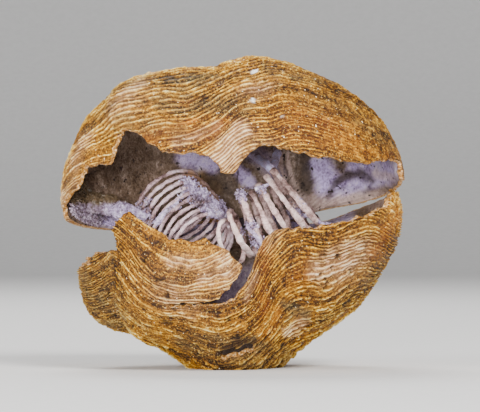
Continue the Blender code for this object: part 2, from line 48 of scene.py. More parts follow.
# The form of each valve, as in the solids: one margin curve that is scaled up and swung round the hinge line
# as the valve grows. A stage is how far it has grown, from 0 at the beak to 1 at the margin curve, and a
# growth line is a curve of one stage. An azimuth is in degrees from the front, positive to the right.
UPPER = {
    "side": 1,  # 1 arches upwards, -1 downwards
    "hinge": (-1.4, 12.0, 15.0),  # middle of the hinge line
    "yaw": 12.0,  # degrees that the front is turned towards +X
    "roll": 5.5,  # degrees that the right end of the hinge line is raised
    "gape": 13.2,  # degrees that the front margin is raised above the hinge line
    "left": 18.3,  # half widths
    "right": 16.9,
    "length": 26.5,  # hinge line to front margin
    "widest": 12.3,  # how far in front of the hinge line it is widest
    "overhang": 0.02,
    "depth": 1.05,
    "beak": (0.0, 0.0),  # where the beak is, forwards of the hinge line and above it
    # height, azimuth and its half width, drift towards the beak
    "folds": ((2.3, 5.0, 21.0, 12.0), (-3.0, -34.0, 22.0, 0.0), (-0.6, 52.0, 22.0, 0.0)),
    "fold_start": 0.25,
    "crease": (0.9, -58.0, 9.0),  # depth, azimuth and its half width
    # how much it is scaled about FORM_CENTRE, by the direction in degrees in the front view
    "outline": (
        (-40, 1.0), (0, 1.0), (20, 1.01), (50, 1.0), (65, 0.98), (85, 0.98), (100, 0.97), (110, 1.03),
        (122, 1.1), (138, 1.145), (152, 1.08), (165, 1.05), (185, 1.03), (210, 1.0),
    ),
    # the stage at which it ends, by azimuth
    "margin": (
        (-150, 1.0), (-100, 1.0), (-70, 1.03), (-30, 1.06), (30, 1.06), (60, 1.03), (85, 1.015), (100, 1.033),
        (115, 1.045), (130, 1.035), (142, 1.0), (150, 1.0),
    ),
    # growth lines by stage: their spacing, the share that is strong, and how high their lamellae stand
    "line_spacing": (
        (0.0, 0.028), (0.5, 0.024), (0.64, 0.021), (0.76, 0.0155), (0.88, 0.0105), (1.1, 0.0085),
    ),
    "strong_lines": ((0.0, 0.8), (0.6, 0.75), (0.76, 0.7), (0.88, 0.85), (1.0, 0.95)),
    "lamella_height": ((0.0, 0.24), (0.6, 0.26), (0.78, 0.24), (0.9, 0.18), (1.05, 0.15)),
    "crest": 1.7,  # the larger, the thinner the bright crest of a lamella
    "broken": 0.35,  # how much of their height the crests lose where they are broken
    "wobble": 0.15,  # the lines' short waves, as a share of their spacing
    "sparse": (0.3, -70.0, 20.0),  # fewer strong lines: share, azimuth and its half width
    "faint": (0.6, 50.0, 32.0),  # weaker lamellae and more grains: the same
    # where the lines swerve: shift in stage, azimuth and its half width, stages over which the swerve sets in
    "swerves": (
        (0.010, -23.0, 5.0, (0.6, 0.7)), (-0.012, -10.0, 6.0, (0.6, 0.7)), (0.014, 3.0, 5.0, (0.6, 0.7)),
    ),
    # coloured patches: strength, azimuth and its half width, stage and its half width
    "marks": {
        "soot": (
            (0.9, -24.0, 10.0, 0.67, 0.018), (0.8, -20.0, 11.0, 0.71, 0.014), (0.6, -45.0, 20.0, 0.62, 0.05),
            (0.5, -28.0, 9.0, 0.745, 0.01), (0.5, 35.0, 22.0, 0.70, 0.03),
        ),
        "wear": (
            (0.8, -13.0, 5.0, 0.94, 0.03), (0.8, -12.0, 7.0, 0.985, 0.04), (0.8, -4.0, 6.0, 1.03, 0.05),
            (0.5, 2.0, 6.0, 0.82, 0.03), (0.5, -85.0, 18.0, 0.93, 0.08), (0.35, -45.0, 8.0, 0.74, 0.05),
        ),
        "rust": (
            (0.9, -23.0, 3.0, 0.763, 0.01), (0.5, -30.0, 12.0, 0.85, 0.03), (0.5, -15.0, 5.0, 0.88, 0.02),
            (0.45, 25.0, 20.0, 0.93, 0.05),
        ),
    },
    # coloured strokes on the front view: ends, half width, softness, strength
    "stains": {
        "soot": (
            ((-7.2, 29.9), (-2.2, 30.3), 0.5, 0.7, 0.8), ((-6.4, 26.7), (-4.0, 27.1), 0.4, 0.8, 0.75),
            ((-8.6, 27.9), (-4.6, 28.4), 0.35, 0.7, 0.6), ((3.0, 31.2), (9.0, 29.6), 0.5, 0.9, 0.5),
            ((11.0, 27.4), (15.2, 23.6), 0.4, 0.9, 0.5), ((-15.6, 24.6), (-12.6, 28.0), 0.5, 1.0, 0.35),
            ((-11.5, 25.6), (-6.0, 24.6), 1.2, 1.6, 0.4), ((8.0, 28.0), (15.6, 24.0), 1.5, 2.0, 0.2),
            ((-7.6, 27.6), (1.0, 27.2), 0.9, 1.4, 0.6), ((-3.6, 30.4), (2.4, 30.2), 0.5, 1.2, 0.3),
        ),
        "wear": (
            ((-1.7, 21.4), (0.6, 24.6), 1.0, 1.0, 0.9), ((-6.0, 23.4), (-1.8, 25.0), 0.5, 1.0, 0.5),
            ((-12.6, 27.6), (-9.8, 29.6), 0.5, 0.9, 0.6), ((-9.6, 30.6), (-8.2, 31.0), 0.2, 0.4, 0.9),
            ((-16.8, 20.6), (-15.6, 24.0), 0.6, 1.0, 0.5),
        ),
        "rust": (((4.5, 24.3), (16.0, 22.0), 0.7, 1.0, 0.25), ((-6.2, 25.2), (-4.0, 25.6), 0.2, 0.4, 0.9)),
        "speck": (
            ((1.8, 30.7), (2.2, 30.8), 0.12, 0.1, 1.0), ((1.85, 27.9), (1.95, 27.9), 0.17, 0.1, 1.0),
            ((4.8, 26.1), (4.9, 26.1), 0.1, 0.1, 1.0),
        ),
        "pit": (
            ((5.8, 30.0), (6.0, 29.9), 0.14, 0.2, 0.9), ((12.6, 24.3), (13.0, 24.1), 0.12, 0.2, 0.9),
            ((11.3, 24.7), (11.6, 24.6), 0.1, 0.2, 0.7),
        ),
    },
    # the same on the lining
    "lining_marks": {
        "lilac": (
            ((-5.2, 21.6), (-2.6, 20.9), 1.1, 1.2, 0.9), ((0.3, 20.0), (1.4, 18.8), 0.6, 0.6, 0.9),
            ((9.0, 21.0), (10.2, 18.8), 1.4, 1.0, 1.0), ((11.5, 18.6), (16.4, 20.6), 1.3, 1.4, 0.9),
            ((2.0, 22.4), (4.2, 20.4), 1.1, 1.2, 0.3), ((12.6, 21.2), (16.0, 21.6), 0.6, 0.8, 0.9),
            ((-16.8, 17.4), (-15.6, 15.6), 0.7, 0.6, 0.9), ((-15.6, 15.6), (-11.0, 14.6), 0.8, 0.8, 0.9),
        ),
        "pink": (
            ((4.8, 22.6), (5.1, 19.6), 0.18, 0.2, 1.0), ((5.5, 22.6), (6.1, 19.0), 0.2, 0.2, 1.0),
            ((6.0, 19.4), (7.4, 17.4), 0.3, 0.4, 0.8), ((7.0, 17.3), (15.6, 17.6), 0.75, 0.9, 0.9),
            ((15.2, 20.4), (17.0, 20.0), 0.5, 0.6, 0.6),
        ),
        "ochre": (((-3.6, 19.0), (-2.1, 18.2), 0.8, 1.0, 0.8),),
        "dark": (
            ((7.4, 22.6), (7.7, 18.9), 0.7, 0.7, 0.95), ((6.5, 22.4), (6.5, 20.0), 0.1, 0.15, 0.9),
            ((10.0, 18.1), (10.6, 19.4), 0.4, 0.5, 0.85), ((10.6, 19.4), (12.1, 20.15), 0.45, 0.5, 0.9),
            ((12.1, 20.15), (13.8, 20.35), 0.45, 0.5, 0.9), ((13.8, 20.35), (14.8, 19.5), 0.45, 0.5, 0.9),
            ((14.8, 19.5), (14.5, 18.5), 0.35, 0.5, 0.75), ((11.2, 18.6), (12.1, 19.0), 0.2, 0.3, 0.6),
            ((12.1, 19.0), (13.1, 18.5), 0.2, 0.3, 0.6), ((0.05, 20.4), (0.15, 18.6), 0.1, 0.15, 0.9),
            ((-2.6, 18.9), (-0.8, 18.0), 0.9, 1.2, 0.7), ((-12.6, 20.6), (-8.0, 22.6), 1.6, 2.4, 0.35),
        ),
    },
}
LOWER = {
    "side": -1,
    "hinge": (-1.4, 12.2, 13.85),
    "yaw": 12.0,
    "roll": 6.5,
    "gape": 1.0,
    "left": 16.6,
    "right": 16.6,
    "length": 26.5,
    "widest": 12.3,
    "overhang": 0.1,
    "depth": 0.95,
    "beak": (-3.4, -1.6),
    "folds": (
        (4.0, 5.0, 15.0, 0.0), (4.4, 37.0, 25.0, 0.0), (-2.6, -25.0, 21.0, 0.0), (3.4, -64.0, 15.0, 0.0),
    ),
    "fold_start": -0.1,
    "crease": (1.1, -72.0, 9.0),
    "outline": (
        (-190, 1.08), (-160, 1.08), (-148, 1.12), (-130, 1.09), (-118, 0.99), (-108, 0.97), (-95, 1.01),
        (-75, 1.055), (-60, 0.98), (-40, 0.96), (-20, 0.925), (-10, 0.95), (5, 1.0), (30, 1.0),
    ),
    "margin": (
        (-150, 1.0), (-110, 1.0), (-90, 1.04), (-60, 1.12), (-20, 1.14), (40, 1.14), (75, 1.13), (95, 1.12),
        (113, 1.13), (125, 1.115), (136, 1.04), (144, 1.0), (150, 1.0),
    ),
    "line_spacing": (
        (0.0, 0.03), (0.45, 0.019), (0.65, 0.0115), (0.85, 0.0098), (1.0, 0.0105), (1.15, 0.013),
    ),
    "strong_lines": ((0.0, 0.8), (0.6, 0.8), (1.0, 0.95)),
    "lamella_height": ((0.0, 0.22), (0.6, 0.27), (1.0, 0.25)),
    "crest": 1.1,
    "broken": 0.6,
    "wobble": 0.3,
    "sparse": (0.5, -38.0, 24.0),
    "faint": (0.0, 0.0, 1.0),
    "swerves": (),
    "marks": {
        "soot": ((0.8, 7.0, 5.0, 0.68, 0.014), (0.5, -76.0, 12.0, 0.8, 0.2), (0.4, -60.0, 14.0, 0.75, 0.06)),
        "wear": (
            # The first mark, at the lower right, is partly a painted highlight where the light falls
            # brightest, as well as worn crests
            (0.95, 34.0, 11.0, 0.78, 0.05), (0.8, -21.0, 7.0, 0.965, 0.05), (0.5, -35.0, 8.0, 0.90, 0.06),
            (0.4, 0.0, 6.0, 0.95, 0.05),
        ),
        "rust": ((0.4, -5.5, 3.0, 0.85, 0.2), (0.5, 45.0, 25.0, 1.02, 0.09), (0.3, 10.0, 6.0, 0.78, 0.05)),
    },
    "stains": {
        # Partly painted shade: the two broad strokes along the bottom and the lower left, and the one round
        # the pit's rim, darken where shade falls; the rest are dark stains
        "soot": (
            ((-16.0, 8.6), (-12.4, 5.0), 1.6, 1.6, 0.65), ((-5.0, 2.8), (4.6, 1.0), 1.5, 1.6, 0.6),
            ((5.4, 6.7), (7.4, 5.4), 0.6, 0.8, 0.75), ((-1.4, 2.5), (2.0, 3.0), 0.3, 0.5, 0.8),
            ((9.0, 4.6), (15.0, 10.0), 0.5, 1.2, 0.5), ((-11.0, 5.6), (-8.0, 2.6), 0.6, 1.0, 0.4),
        ),
        "wear": (
            # The first stroke, at the lower right, is partly a painted highlight as well as worn crests
            ((8.6, 10.2), (12.6, 12.4), 1.1, 1.4, 0.95), ((-6.6, 11.0), (-1.2, 10.8), 0.8, 1.4, 0.5),
            ((-3.6, 9.0), (-0.6, 11.6), 0.6, 1.0, 0.6), ((5.6, 3.6), (7.2, 5.0), 0.5, 0.8, 0.6),
            ((1.2, 7.0), (2.2, 9.6), 0.3, 0.6, 0.7),
        ),
        "rust": (((3.4, 3.2), (4.6, 6.0), 0.5, 0.8, 0.45), ((14.6, 12.0), (17.4, 16.6), 0.8, 1.2, 0.5)),
        "pit": (
            ((-1.9, 5.6), (-1.8, 5.4), 0.17, 0.2, 0.9), ((-0.5, 4.3), (-0.4, 4.3), 0.15, 0.2, 0.8),
            ((2.0, 4.7), (2.0, 4.6), 0.15, 0.2, 0.8), ((-7.3, 4.7), (-6.8, 4.6), 0.2, 0.3, 0.8),
            ((-6.6, 6.2), (-6.4, 6.3), 0.12, 0.2, 0.8), ((-1.6, 1.5), (0.4, 2.6), 0.3, 0.3, 0.8),
            ((0.4, 2.6), (2.0, 2.6), 0.25, 0.3, 0.8),
        ),
        "speck": (),
    },
    "lining_marks": {
        "lilac": (((-1.5, 8.0), (1.5, 9.5), 1.4, 1.5, 0.3), ((6.0, 15.2), (12.0, 15.8), 0.8, 1.0, 0.6)),
        "pink": (((14.6, 17.2), (17.0, 18.2), 0.6, 0.8, 0.8),),
        "ochre": (((14.0, 16.6), (17.0, 18.0), 0.5, 0.8, 0.4),),
        "dark": (((-3.0, 1.4), (3.0, 2.4), 2.2, 1.0, 1.0), ((9.4, 15.4), (14.4, 17.0), 0.7, 0.8, 0.6)),
    },
}
FORM_CENTRE = (0.0, 15.5)  # x and z
HINGE_AREA_SPAN = 10.0  # degrees of azimuth past the hinge line's ends that are the hinge area
HINGE_AREA_GAP = 0.05  # how near the middle the hinge area ends, as a share of the half width
VIEW_DISTANCE = 420.0  # from the camera to the plane y = 0
VIEW_AXIS = (0.52, 16.8)  # the camera's x and z

SHELL = 0.9  # thickness of the wall
SHELL_EDGE = 0.5  # and at its edges
THINNING = 2.0  # how far in from an edge the wall thins
RESTING_BAND = 0.5  # how far the lowest part is pressed flat
FRONT_WALL = (-100.0, 80.0)  # azimuths
FRONT_WALL_BACK = 4.0  # breaks in the front walls fade out behind this y
LEAST_OFFSET = 0.03  # keeps a cut off a grid's points

# A lamella's profile from one growth line to the next: share of the way, height. It ends in a steep step.
LAMELLA_PROFILE = ((0.0, 0.0), (0.5, 0.42), (0.85, 1.0), (1.0, 0.0))
WEAK_LINE = 0.35  # height of a weak line's lamella, as a share of a strong one's
PIT_GRIT = (0.5, 0.9)  # the shell is pitted where its grit is above these
OUTER_COLUMNS = 335
INNER_ROWS = 110
INNER_COLUMNS = 150
# The broken edge's steps from the outer to the inner face: share of the wall, roughness in mm, seed
RIM_STEPS = ((0.2, 0.07, 34), (0.5, 0.13, 35), (0.8, 0.09, 36))
FURTHEST_RIM = 3.0  # an outer and an inner rim further apart than this don't belong together

COIL_STEPS = 170  # points per turn
COIL_SIDES = 10
ROD_SIDES = 12  # of struts and slabs
DRUSE_LEAN = (0.0, -0.12, 0.05)  # crystals sit a little in front of the ribbon's middle line
DRUSE_LUMP_GRAINS = 700  # crystals on each lump

# How each coil is dressed. Strokes are drawn on the front view, as above.
LEFT_DRESS = {
    "seed": 151,
    "tint": (0.96, 0.92, 1.0),
    "width": 0.44,
    "thickness": 0.34,
    "unevenness": 0.25,  # of its width
    "rear": (1.5, 4.0),  # painted darker between these y, as shade deeper in the shell
    "rear_shade": 0.3,
    "ochre": (((-4.7, 19.9), (-3.0, 18.2), 0.7, 0.6, 0.9), ((-3.0, 18.2), (-0.6, 16.7), 0.5, 0.6, 0.9)),
    "crust": (
        ((-4.9, 19.1), (-4.3, 18.5), 0.7, 0.5, 1.0), ((-4.0, 17.8), (-1.7, 16.2), 0.8, 0.6, 1.0),
        ((-9.3, 17.6), (-8.8, 15.4), 0.2, 0.3, 0.9), ((-10.2, 16.8), (-9.6, 15.0), 0.3, 0.4, 0.8),
        ((-6.0, 17.4), (-4.8, 17.8), 0.2, 0.3, 0.3),
    ),
    "crystals": 2600,
    "lumps": (((-4.6, -0.7, 18.7), 0.72), ((-3.5, -1.2, 17.7), 0.86), ((-2.3, -1.4, 16.8), 0.8)),
    # stumps of broken ribbon: route, half width, half thickness
    "slabs": (
        (((-8.3, -2.2, 14.9), (-7.1, -2.4, 16.0), (-5.7, -2.3, 17.0)), 0.42, 0.16),
        (((-12.1, -1.3, 16.9), (-10.6, -0.9, 16.4), (-9.2, -0.4, 15.6)), 0.45, 0.3),
    ),
}
RIGHT_DRESS = {
    "seed": 161,
    "tint": (1.0, 0.94, 0.9),
    "width": 0.62,
    "thickness": 0.36,
    "unevenness": 0.5,
    "rear": (-5.2, -2.0),
    "rear_shade": 0.45,
    "ochre": (((0.2, 14.4), (2.0, 13.4), 0.5, 0.8, 0.4),),
    "crust": (
        ((0.2, 17.8), (1.4, 17.6), 0.3, 0.4, 0.5), ((2.2, 18.6), (3.0, 18.3), 0.2, 0.3, 0.3),
        ((1.0, 15.2), (1.9, 14.8), 0.3, 0.4, 0.5), ((6.6, 16.9), (7.2, 15.9), 0.25, 0.4, 0.5),
        ((0.9, 14.0), (2.6, 12.6), 0.4, 0.6, 0.2),
    ),
    "crystals": 1100,
    "lumps": (),
    "slabs": (
        (((2.1, -4.4, 18.5), (2.9, -4.6, 18.8), (3.7, -4.3, 19.1)), 0.2, 0.13),
        (((7.2, -3.6, 16.0), (8.8, -3.4, 15.1), (10.2, -2.8, 14.8)), 0.2, 0.14),
        (((1.2, -6.4, 14.7), (2.2, -6.6, 13.7), (2.7, -6.3, 12.8)), 0.2, 0.13),
    ),
}

# The two struts and the hinge plate: route, direction of their width, half width, half thickness
SUPPORTS = (
    (
        ((1.7, 10.7, 22.5), (2.7, 6.0, 21.6), (3.7, 1.6, 20.8), (5.2, 4.6, 18.7), (6.8, 11.4, 16.3)),
        (1.0, 0.0, 0.4), 0.48, 0.34,
    ),
    (((4.5, 10.4, 23.3), (4.4, 6.0, 22.1), (3.9, 1.8, 20.7)), (1.0, 0.0, 0.4), 0.44, 0.3),
    (
        ((7.0, 11.0, 16.2), (4.0, 10.7, 15.4), (1.0, 10.4, 15.0), (-2.0, 9.9, 14.5), (-6.4, 9.0, 14.0)),
        (0.0, 0.0, 1.0), 0.62, 0.25,
    ),
)
STRUT_TINT = (0.6, 0.66, 1.0)

# The crust's sheet inside the upper valve, and the lumps in front of it: middle, radius
CRUST_STAGES = (0.66, 0.97)
CRUST_AZIMUTHS = (-128.0, -96.0)
CRUST_ROWS, CRUST_COLUMNS = 60, 70
CRUST_DEPTH = 0.9
CRUST_TAPER = (0.05, 5.0)  # stages and degrees over which the sheet thins at its edges
CRUST_GAP = 0.12  # between the valve's inside and the sheet
CRUST_GRAINS = 3500
CRUST_LUMPS = (((-14.7, 1.8, 17.1), 1.3), ((-13.1, 0.9, 16.9), 1.3), ((-11.8, -0.5, 16.3), 1.1))
CRUST_LUMP_GRAINS = 900
LUMP_RINGS = 24

# Crystals on the upper valve's lining: how many are tried, where, and the strokes that keep them
LINING_GRAINS = 16000
LINING_GRAIN_STAGES = (0.8, 1.06)
LINING_GRAIN_AZIMUTHS = (-125.0, -75.0)
LINING_GRAIN_STROKES = (
    ((-15.7, 16.2), (-14.0, 15.2), 0.5, 0.6, 0.7), ((-14.0, 15.2), (-12.2, 14.8), 0.6, 0.6, 0.9),
    ((-12.2, 14.8), (-10.4, 15.2), 0.7, 0.6, 0.9), ((-5.0, 21.5), (-2.6, 20.6), 0.5, 0.8, 0.12),
)

# Lamps: name, place, what they point at, size and watts
LIGHTS = (
    ("key", (200.0, -320.0, 300.0), (0.0, 0.0, 16.0), 160.0, 2.6),
    ("fill", (-320.0, -260.0, 140.0), (0.0, 0.0, 16.0), 240.0, 1.3),
    ("front", (-60.0, -470.0, 40.0), (0.0, 0.0, 16.0), 120.0, 2.6),
    ("rim", (-60.0, 260.0, 330.0), (0.0, 0.0, 16.0), 200.0, 1.2),
)
WORLD_COLOUR = (235, 238, 245)
WORLD_STRENGTH = 0.35
VIEW_WIDTH = 49.92  # how much the camera sees from left to right on the plane y = 0
SENSOR_WIDTH = 36.0
FLOOR_HALF_WIDTH, FLOOR_FRONT, FLOOR_TOP = 1200.0, -700.0, 900.0
FLOOR_REACH, FLOOR_RADIUS = 560.0, 240.0  # where it starts to curve up, and the curve's radius

# The coils' middle lines: turn, centre, and the ways from it to the ribbon at a whole turn and a quarter more
LEFT_COIL = (
    (0.0, (-7.0, 3.0, 17.4), (3.1, 0.0, 2.5), (-1.6, -3.1, 1.9)),
    (5.0, (-4.7, 0.5, 14.8), (3.1, 0.0, 2.4), (-1.5, -3.1, 1.9)),
    (9.0, (-3.2, -1.7, 12.6), (2.5, 0.0, 2.1), (-1.4, -2.7, 1.9)),
)
RIGHT_COIL = (
    (0.0, (-1.0, -4.4, 12.9), (0.2, 0.0, 2.4), (-1.1, -2.9, 0.4)),
    (1.0, (0.4, -3.8, 13.7), (-0.9, 0.0, 2.6), (-0.6, -3.2, -0.1)),
    (2.0, (1.5, -3.4, 15.1), (-1.0, 0.0, 3.0), (-0.15, -3.4, 0.0)),
    (3.0, (2.8, -3.0, 15.1), (-1.1, 0.0, 3.1), (0.0, -3.4, 0.0)),
    (4.0, (3.9, -2.6, 15.9), (-1.5, 0.0, 3.1), (0.0, -3.4, 0.0)),
    (5.0, (5.1, -2.2, 16.8), (-1.9, 0.0, 3.1), (0.0, -3.3, 0.0)),
    (6.0, (6.2, -1.8, 17.4), (-2.3, 0.0, 3.1), (0.0, -3.2, 0.0)),
    (6.7, (6.9, -1.4, 17.7), (-2.3, 0.0, 3.0), (0.0, -3.0, 0.0)),
)

# Openings in the walls, as outlines on the front view
UPPER_BREAK = (
    (-18.0, 16.8), (-17.4, 17.7), (-17.0, 18.4), (-16.2, 19.2), (-16.0, 20.1), (-15.6, 20.7), (-14.4, 21.3),
    (-13.1, 21.2), (-12.6, 23.5), (-11.9, 24.5), (-11.2, 24.8), (-9.3, 24.0), (-9.3, 23.6), (-7.7, 22.7),
    (-5.3, 22.4), (-4.6, 22.7), (-2.7, 22.0), (-1.6, 21.1), (-1.3, 20.4), (-0.4, 20.3), (0.1, 20.7),
    (0.8, 21.8), (1.6, 22.5), (3.1, 23.2), (4.2, 23.3), (4.8, 22.8), (7.9, 22.2), (8.9, 21.9), (10.0, 22.0),
    (11.4, 21.6), (13.2, 21.3), (15.4, 21.6), (16.7, 21.7), (17.4, 21.3), (17.6, 8.0), (-17.9, 8.0),
)
LOWER_BREAK = (
    (-16.2, 10.3), (-15.5, 10.7), (-15.0, 10.9), (-14.6, 11.9), (-13.2, 12.2), (-12.3, 12.1), (-12.5, 12.9),
    (-12.7, 14.2), (-12.5, 15.3), (-11.0, 16.3), (-10.2, 15.6), (-8.6, 14.6), (-7.3, 13.8), (-6.9, 13.3),
    (-6.2, 13.4), (-4.4, 13.2), (-3.2, 13.3), (-2.3, 12.8), (-0.8, 12.3), (-0.4, 11.6), (0.4, 11.0),
    (0.7, 10.4), (0.4, 9.4), (-0.7, 8.2), (-1.8, 7.0), (-3.0, 6.7), (-5.0, 6.7), (-6.6, 6.4), (-4.9, 6.3),
    (-1.4, 6.4), (0.1, 7.3), (0.9, 8.5), (1.5, 9.4), (1.9, 10.8), (2.3, 11.9), (2.9, 13.1), (3.8, 13.9),
    (5.1, 14.4), (8.3, 14.5), (10.7, 15.0), (12.3, 15.3), (13.5, 15.7), (14.7, 16.2), (15.6, 16.6),
    (16.0, 17.2), (16.4, 18.1), (17.2, 18.4), (17.6, 18.0), (18.0, 17.1), (22.0, 17.0), (22.0, 30.0),
    (-22.0, 30.0), (-22.0, 10.3),
)
LOWER_BACK_BREAK = (
    (-22.0, 10.3), (-16.2, 10.4), (-14.6, 11.9), (-12.4, 12.1), (-10.5, 13.6), (-8.0, 15.5), (-8.0, 30.0),
    (-22.0, 30.0),
)
LOWER_PIT = ((-1.9, 0.9), (-1.1, 1.8), (0.0, 2.1), (1.8, 2.4), (2.1, 1.7), (0.8, 1.2))


def unit(vector):
    return vector / np.linalg.norm(vector, axis=-1, keepdims=True)


def smooth(x, low, high):
    """0 up to low, 1 from high on, and an even slope between."""
    t = np.clip((x - low) / (high - low), 0.0, 1.0)
    return t * t * (3.0 - 2.0 * t)


def hump(x, middle, width):
    return np.exp(-(((x - middle) / width) ** 2))


def through(x, knots):
    """A smooth curve through (x, value) knots."""
    at, value = np.array(knots, float).T
    slope = np.gradient(value, at)
    i = np.clip(np.searchsorted(at, x) - 1, 0, len(at) - 2)
    span = at[i + 1] - at[i]
    t = np.clip((x - at[i]) / span, 0.0, 1.0)
    return (
        value[i] * (1 + 2 * t) * (1 - t) ** 2
        + value[i + 1] * t * t * (3 - 2 * t)
        + span * (slope[i] * t * (1 - t) ** 2 - slope[i + 1] * t * t * (1 - t))
    )


def hinge_frame(form):
    """Unit vectors of a valve: along the hinge line to the right, to the front, and up."""
    yaw, roll = math.radians(form["yaw"]), math.radians(form["roll"])
    across = np.array([math.cos(yaw) * math.cos(roll), math.sin(yaw) * math.cos(roll), math.sin(roll)])
    front = np.array([math.sin(yaw), -math.cos(yaw), 0.0])
    front = unit(front - across * (front @ across))
    return across, front, np.cross(front, across)


def hinge_azimuth(form):
    """Azimuth, in degrees from the front, at which the margin meets the hinge line."""
    return math.degrees(math.acos(-form["widest"] / (form["length"] - form["widest"])))


def valve_point(form, stage, azimuth):
    """The outer face at a growth stage and an azimuth."""
    across, front, up = hinge_frame(form)
    side, length, widest = form["side"], form["length"], form["widest"]
    end = hinge_azimuth(form)
    beyond = np.clip((np.abs(azimuth) - end) / HINGE_AREA_SPAN, 0.0, 1.0)
    around = np.radians(np.clip(azimuth, -end, end))
    swing = (math.pi / 2 + math.atan(form["overhang"])) * (1.0 - stage)
    size = np.cos(swing) + form["overhang"] * np.sin(swing)
    half = form["left"] + (form["right"] - form["left"]) * (0.5 + 0.5 * np.sin(around))
    x = size * half * np.sin(around) * (1.0 - beyond * (1.0 - HINGE_AREA_GAP))
    y = size * (widest + (length - widest) * np.cos(around))
    fold = sum(
        height * hump(azimuth, middle + drift * (1.0 - stage), width)
        for height, middle, width, drift in form["folds"]
    )
    z = size * fold * smooth(stage, form["fold_start"], 1.05)
    y, z = (
        y * np.cos(swing) - side * z * np.sin(swing),
        form["depth"] * side * y * np.sin(swing) + z * np.cos(swing),
    )
    y = y + (1.0 - size) * form["beak"][0]
    z = z + (1.0 - size) * form["beak"][1]
    depth, middle, width = form["crease"]
    pull = depth * hump(azimuth, middle, width) * smooth(stage, 0.2, 0.7)
    to_core = np.stack([x, y - 0.45 * length, z - side * 0.2 * length], -1)
    x, y, z = np.moveaxis(np.stack([x, y, z], -1) - unit(to_core) * pull[..., None], -1, 0)
    gape = math.radians(form["gape"])
    y, z = y * math.cos(gape) - z * math.sin(gape), y * math.sin(gape) + z * math.cos(gape)
    point = np.array(form["hinge"]) + x[..., None] * across + y[..., None] * front + z[..., None] * up
    return swell(form, point)


def swell(form, point):
    """Scales x and z about the form's centre by a factor that changes with the direction from it."""
    dx, dz = point[..., 0] - FORM_CENTRE[0], point[..., 2] - FORM_CENTRE[1]
    angle = np.degrees(np.arctan2(dz, dx))
    if form["side"] > 0:
        angle = np.where(angle < -90, angle + 360, angle)
    else:
        angle = np.where(angle > 90, angle - 360, angle)
    factor = through(angle, form["outline"])
    return np.stack([FORM_CENTRE[0] + dx * factor, point[..., 1], FORM_CENTRE[1] + dz * factor], -1)


def front_view(point):
    """Where points are seen on the plane y = 0 by the camera."""
    nearness = VIEW_DISTANCE / (VIEW_DISTANCE + point[..., 1])
    axis = np.array(VIEW_AXIS)
    return axis + (point[..., [0, 2]] - axis) * nearness[..., None]


def outside(point, outline):
    """Signed distance of (x, z) points from an outline, positive outside it."""
    a = np.array(outline)
    b = np.roll(a, -1, axis=0)
    p = point[:, None, :]
    along = ((p - a) * (b - a)).sum(-1) / ((b - a) ** 2).sum(-1)
    nearest = a + np.clip(along, 0.0, 1.0)[..., None] * (b - a)
    gap = np.linalg.norm(p - nearest, axis=-1).min(axis=1)
    spans = (a[:, 1] > p[..., 1]) != (b[:, 1] > p[..., 1])
    rise = np.where(b[:, 1] == a[:, 1], 1.0, b[:, 1] - a[:, 1])
    crossing = a[:, 0] + (p[..., 1] - a[:, 1]) / rise * (b[:, 0] - a[:, 0])
    inside = (spans & (p[..., 0] < crossing)).sum(axis=1) % 2 == 1
    return np.where(inside, -gap, gap)


def beyond_front(azimuth, slack=0.0):
    """Degrees by which an azimuth lies past the front wall."""
    return np.maximum(np.maximum(FRONT_WALL[0] - slack - azimuth, azimuth - FRONT_WALL[1]), 0.0)


def to_edge(form, stage, azimuth):
    """About how far a spot lies inside the nearest edge or break. Negative is off the valve."""
    point = valve_point(form, stage, azimuth)
    seen, behind = front_view(point), np.maximum(point[..., 1] - FRONT_WALL_BACK, 0.0)
    kept = (through(np.clip(azimuth, -150, 150), form["margin"]) - stage) * form["length"] * 1.5
    if form["side"] > 0:
        return np.minimum(kept, outside(seen, UPPER_BREAK) + 0.5 * beyond_front(azimuth) + behind)
    back = np.maximum(azimuth + 95.0, 0.0)
    for edge in (
        outside(seen, LOWER_BREAK) + 0.5 * beyond_front(azimuth, 5.0) + behind,
        outside(seen, LOWER_PIT) + behind,
        outside(seen, LOWER_BACK_BREAK) + 0.5 * back,
    ):
        kept = np.minimum(kept, edge)
    return kept


def outward(form, stage, azimuth):
    """The outer face's unit normal. Near the beak it turns into the beak's own direction."""
    step = 0.02
    low, high = np.maximum(stage - step, 0.03), np.maximum(stage + step, 0.07)
    grow = valve_point(form, high, azimuth) - valve_point(form, low, azimuth)
    mid = (low + high) / 2
    turn = valve_point(form, mid, azimuth + 1.5) - valve_point(form, mid, azimuth - 1.5)
    normal = -form["side"] * unit(np.cross(turn, grow))
    core = valve_point(form, np.array([0.75]), np.array([0.0])) - valve_point(form, np.zeros(1), np.zeros(1))
    near_beak = 1.0 - smooth(stage, 0.05, 0.3)
    return unit(normal * (1.0 - near_beak)[..., None] - unit(core) * near_beak[..., None])


def ramp(x, *knots):
    """A straight-line curve through (x, value) knots."""
    at, value = zip(*knots)
    return np.interp(x, at, value)


def lattice_noise(points, cell, seed):
    """Smooth noise from -1 to 1 whose features are about a cell across. Points have any number of axes."""
    scaled = np.asarray(points, float) / cell
    low = np.floor(scaled).astype(np.int64)
    part = scaled - low
    part = part * part * (3.0 - 2.0 * part)
    table = np.random.default_rng(seed).uniform(-1.0, 1.0, 4096)
    primes = np.array((73856093, 19349663, 83492791))[: scaled.shape[-1]]
    total = np.zeros(scaled.shape[:-1])
    for corner in itertools.product((0, 1), repeat=scaled.shape[-1]):
        corner = np.array(corner)
        weight = np.where(corner, part, 1.0 - part).prod(-1)
        total += weight * table[((low + corner) * primes).sum(-1) & 4095]
    return total


def rough(points, cell, seed, octaves=3):
    """Noise summed over octaves, each half as coarse and half as strong as the one before."""
    total = sum(
        lattice_noise(points, cell / 2**octave, seed + octave) / 2**octave for octave in range(octaves)
    )
    return total / sum(0.5**octave for octave in range(octaves))


def grid(first, second):
    """Every pair of a first and a second value, as two flat arrays."""
    return (field.ravel() for field in np.meshgrid(first, second, indexing="ij"))


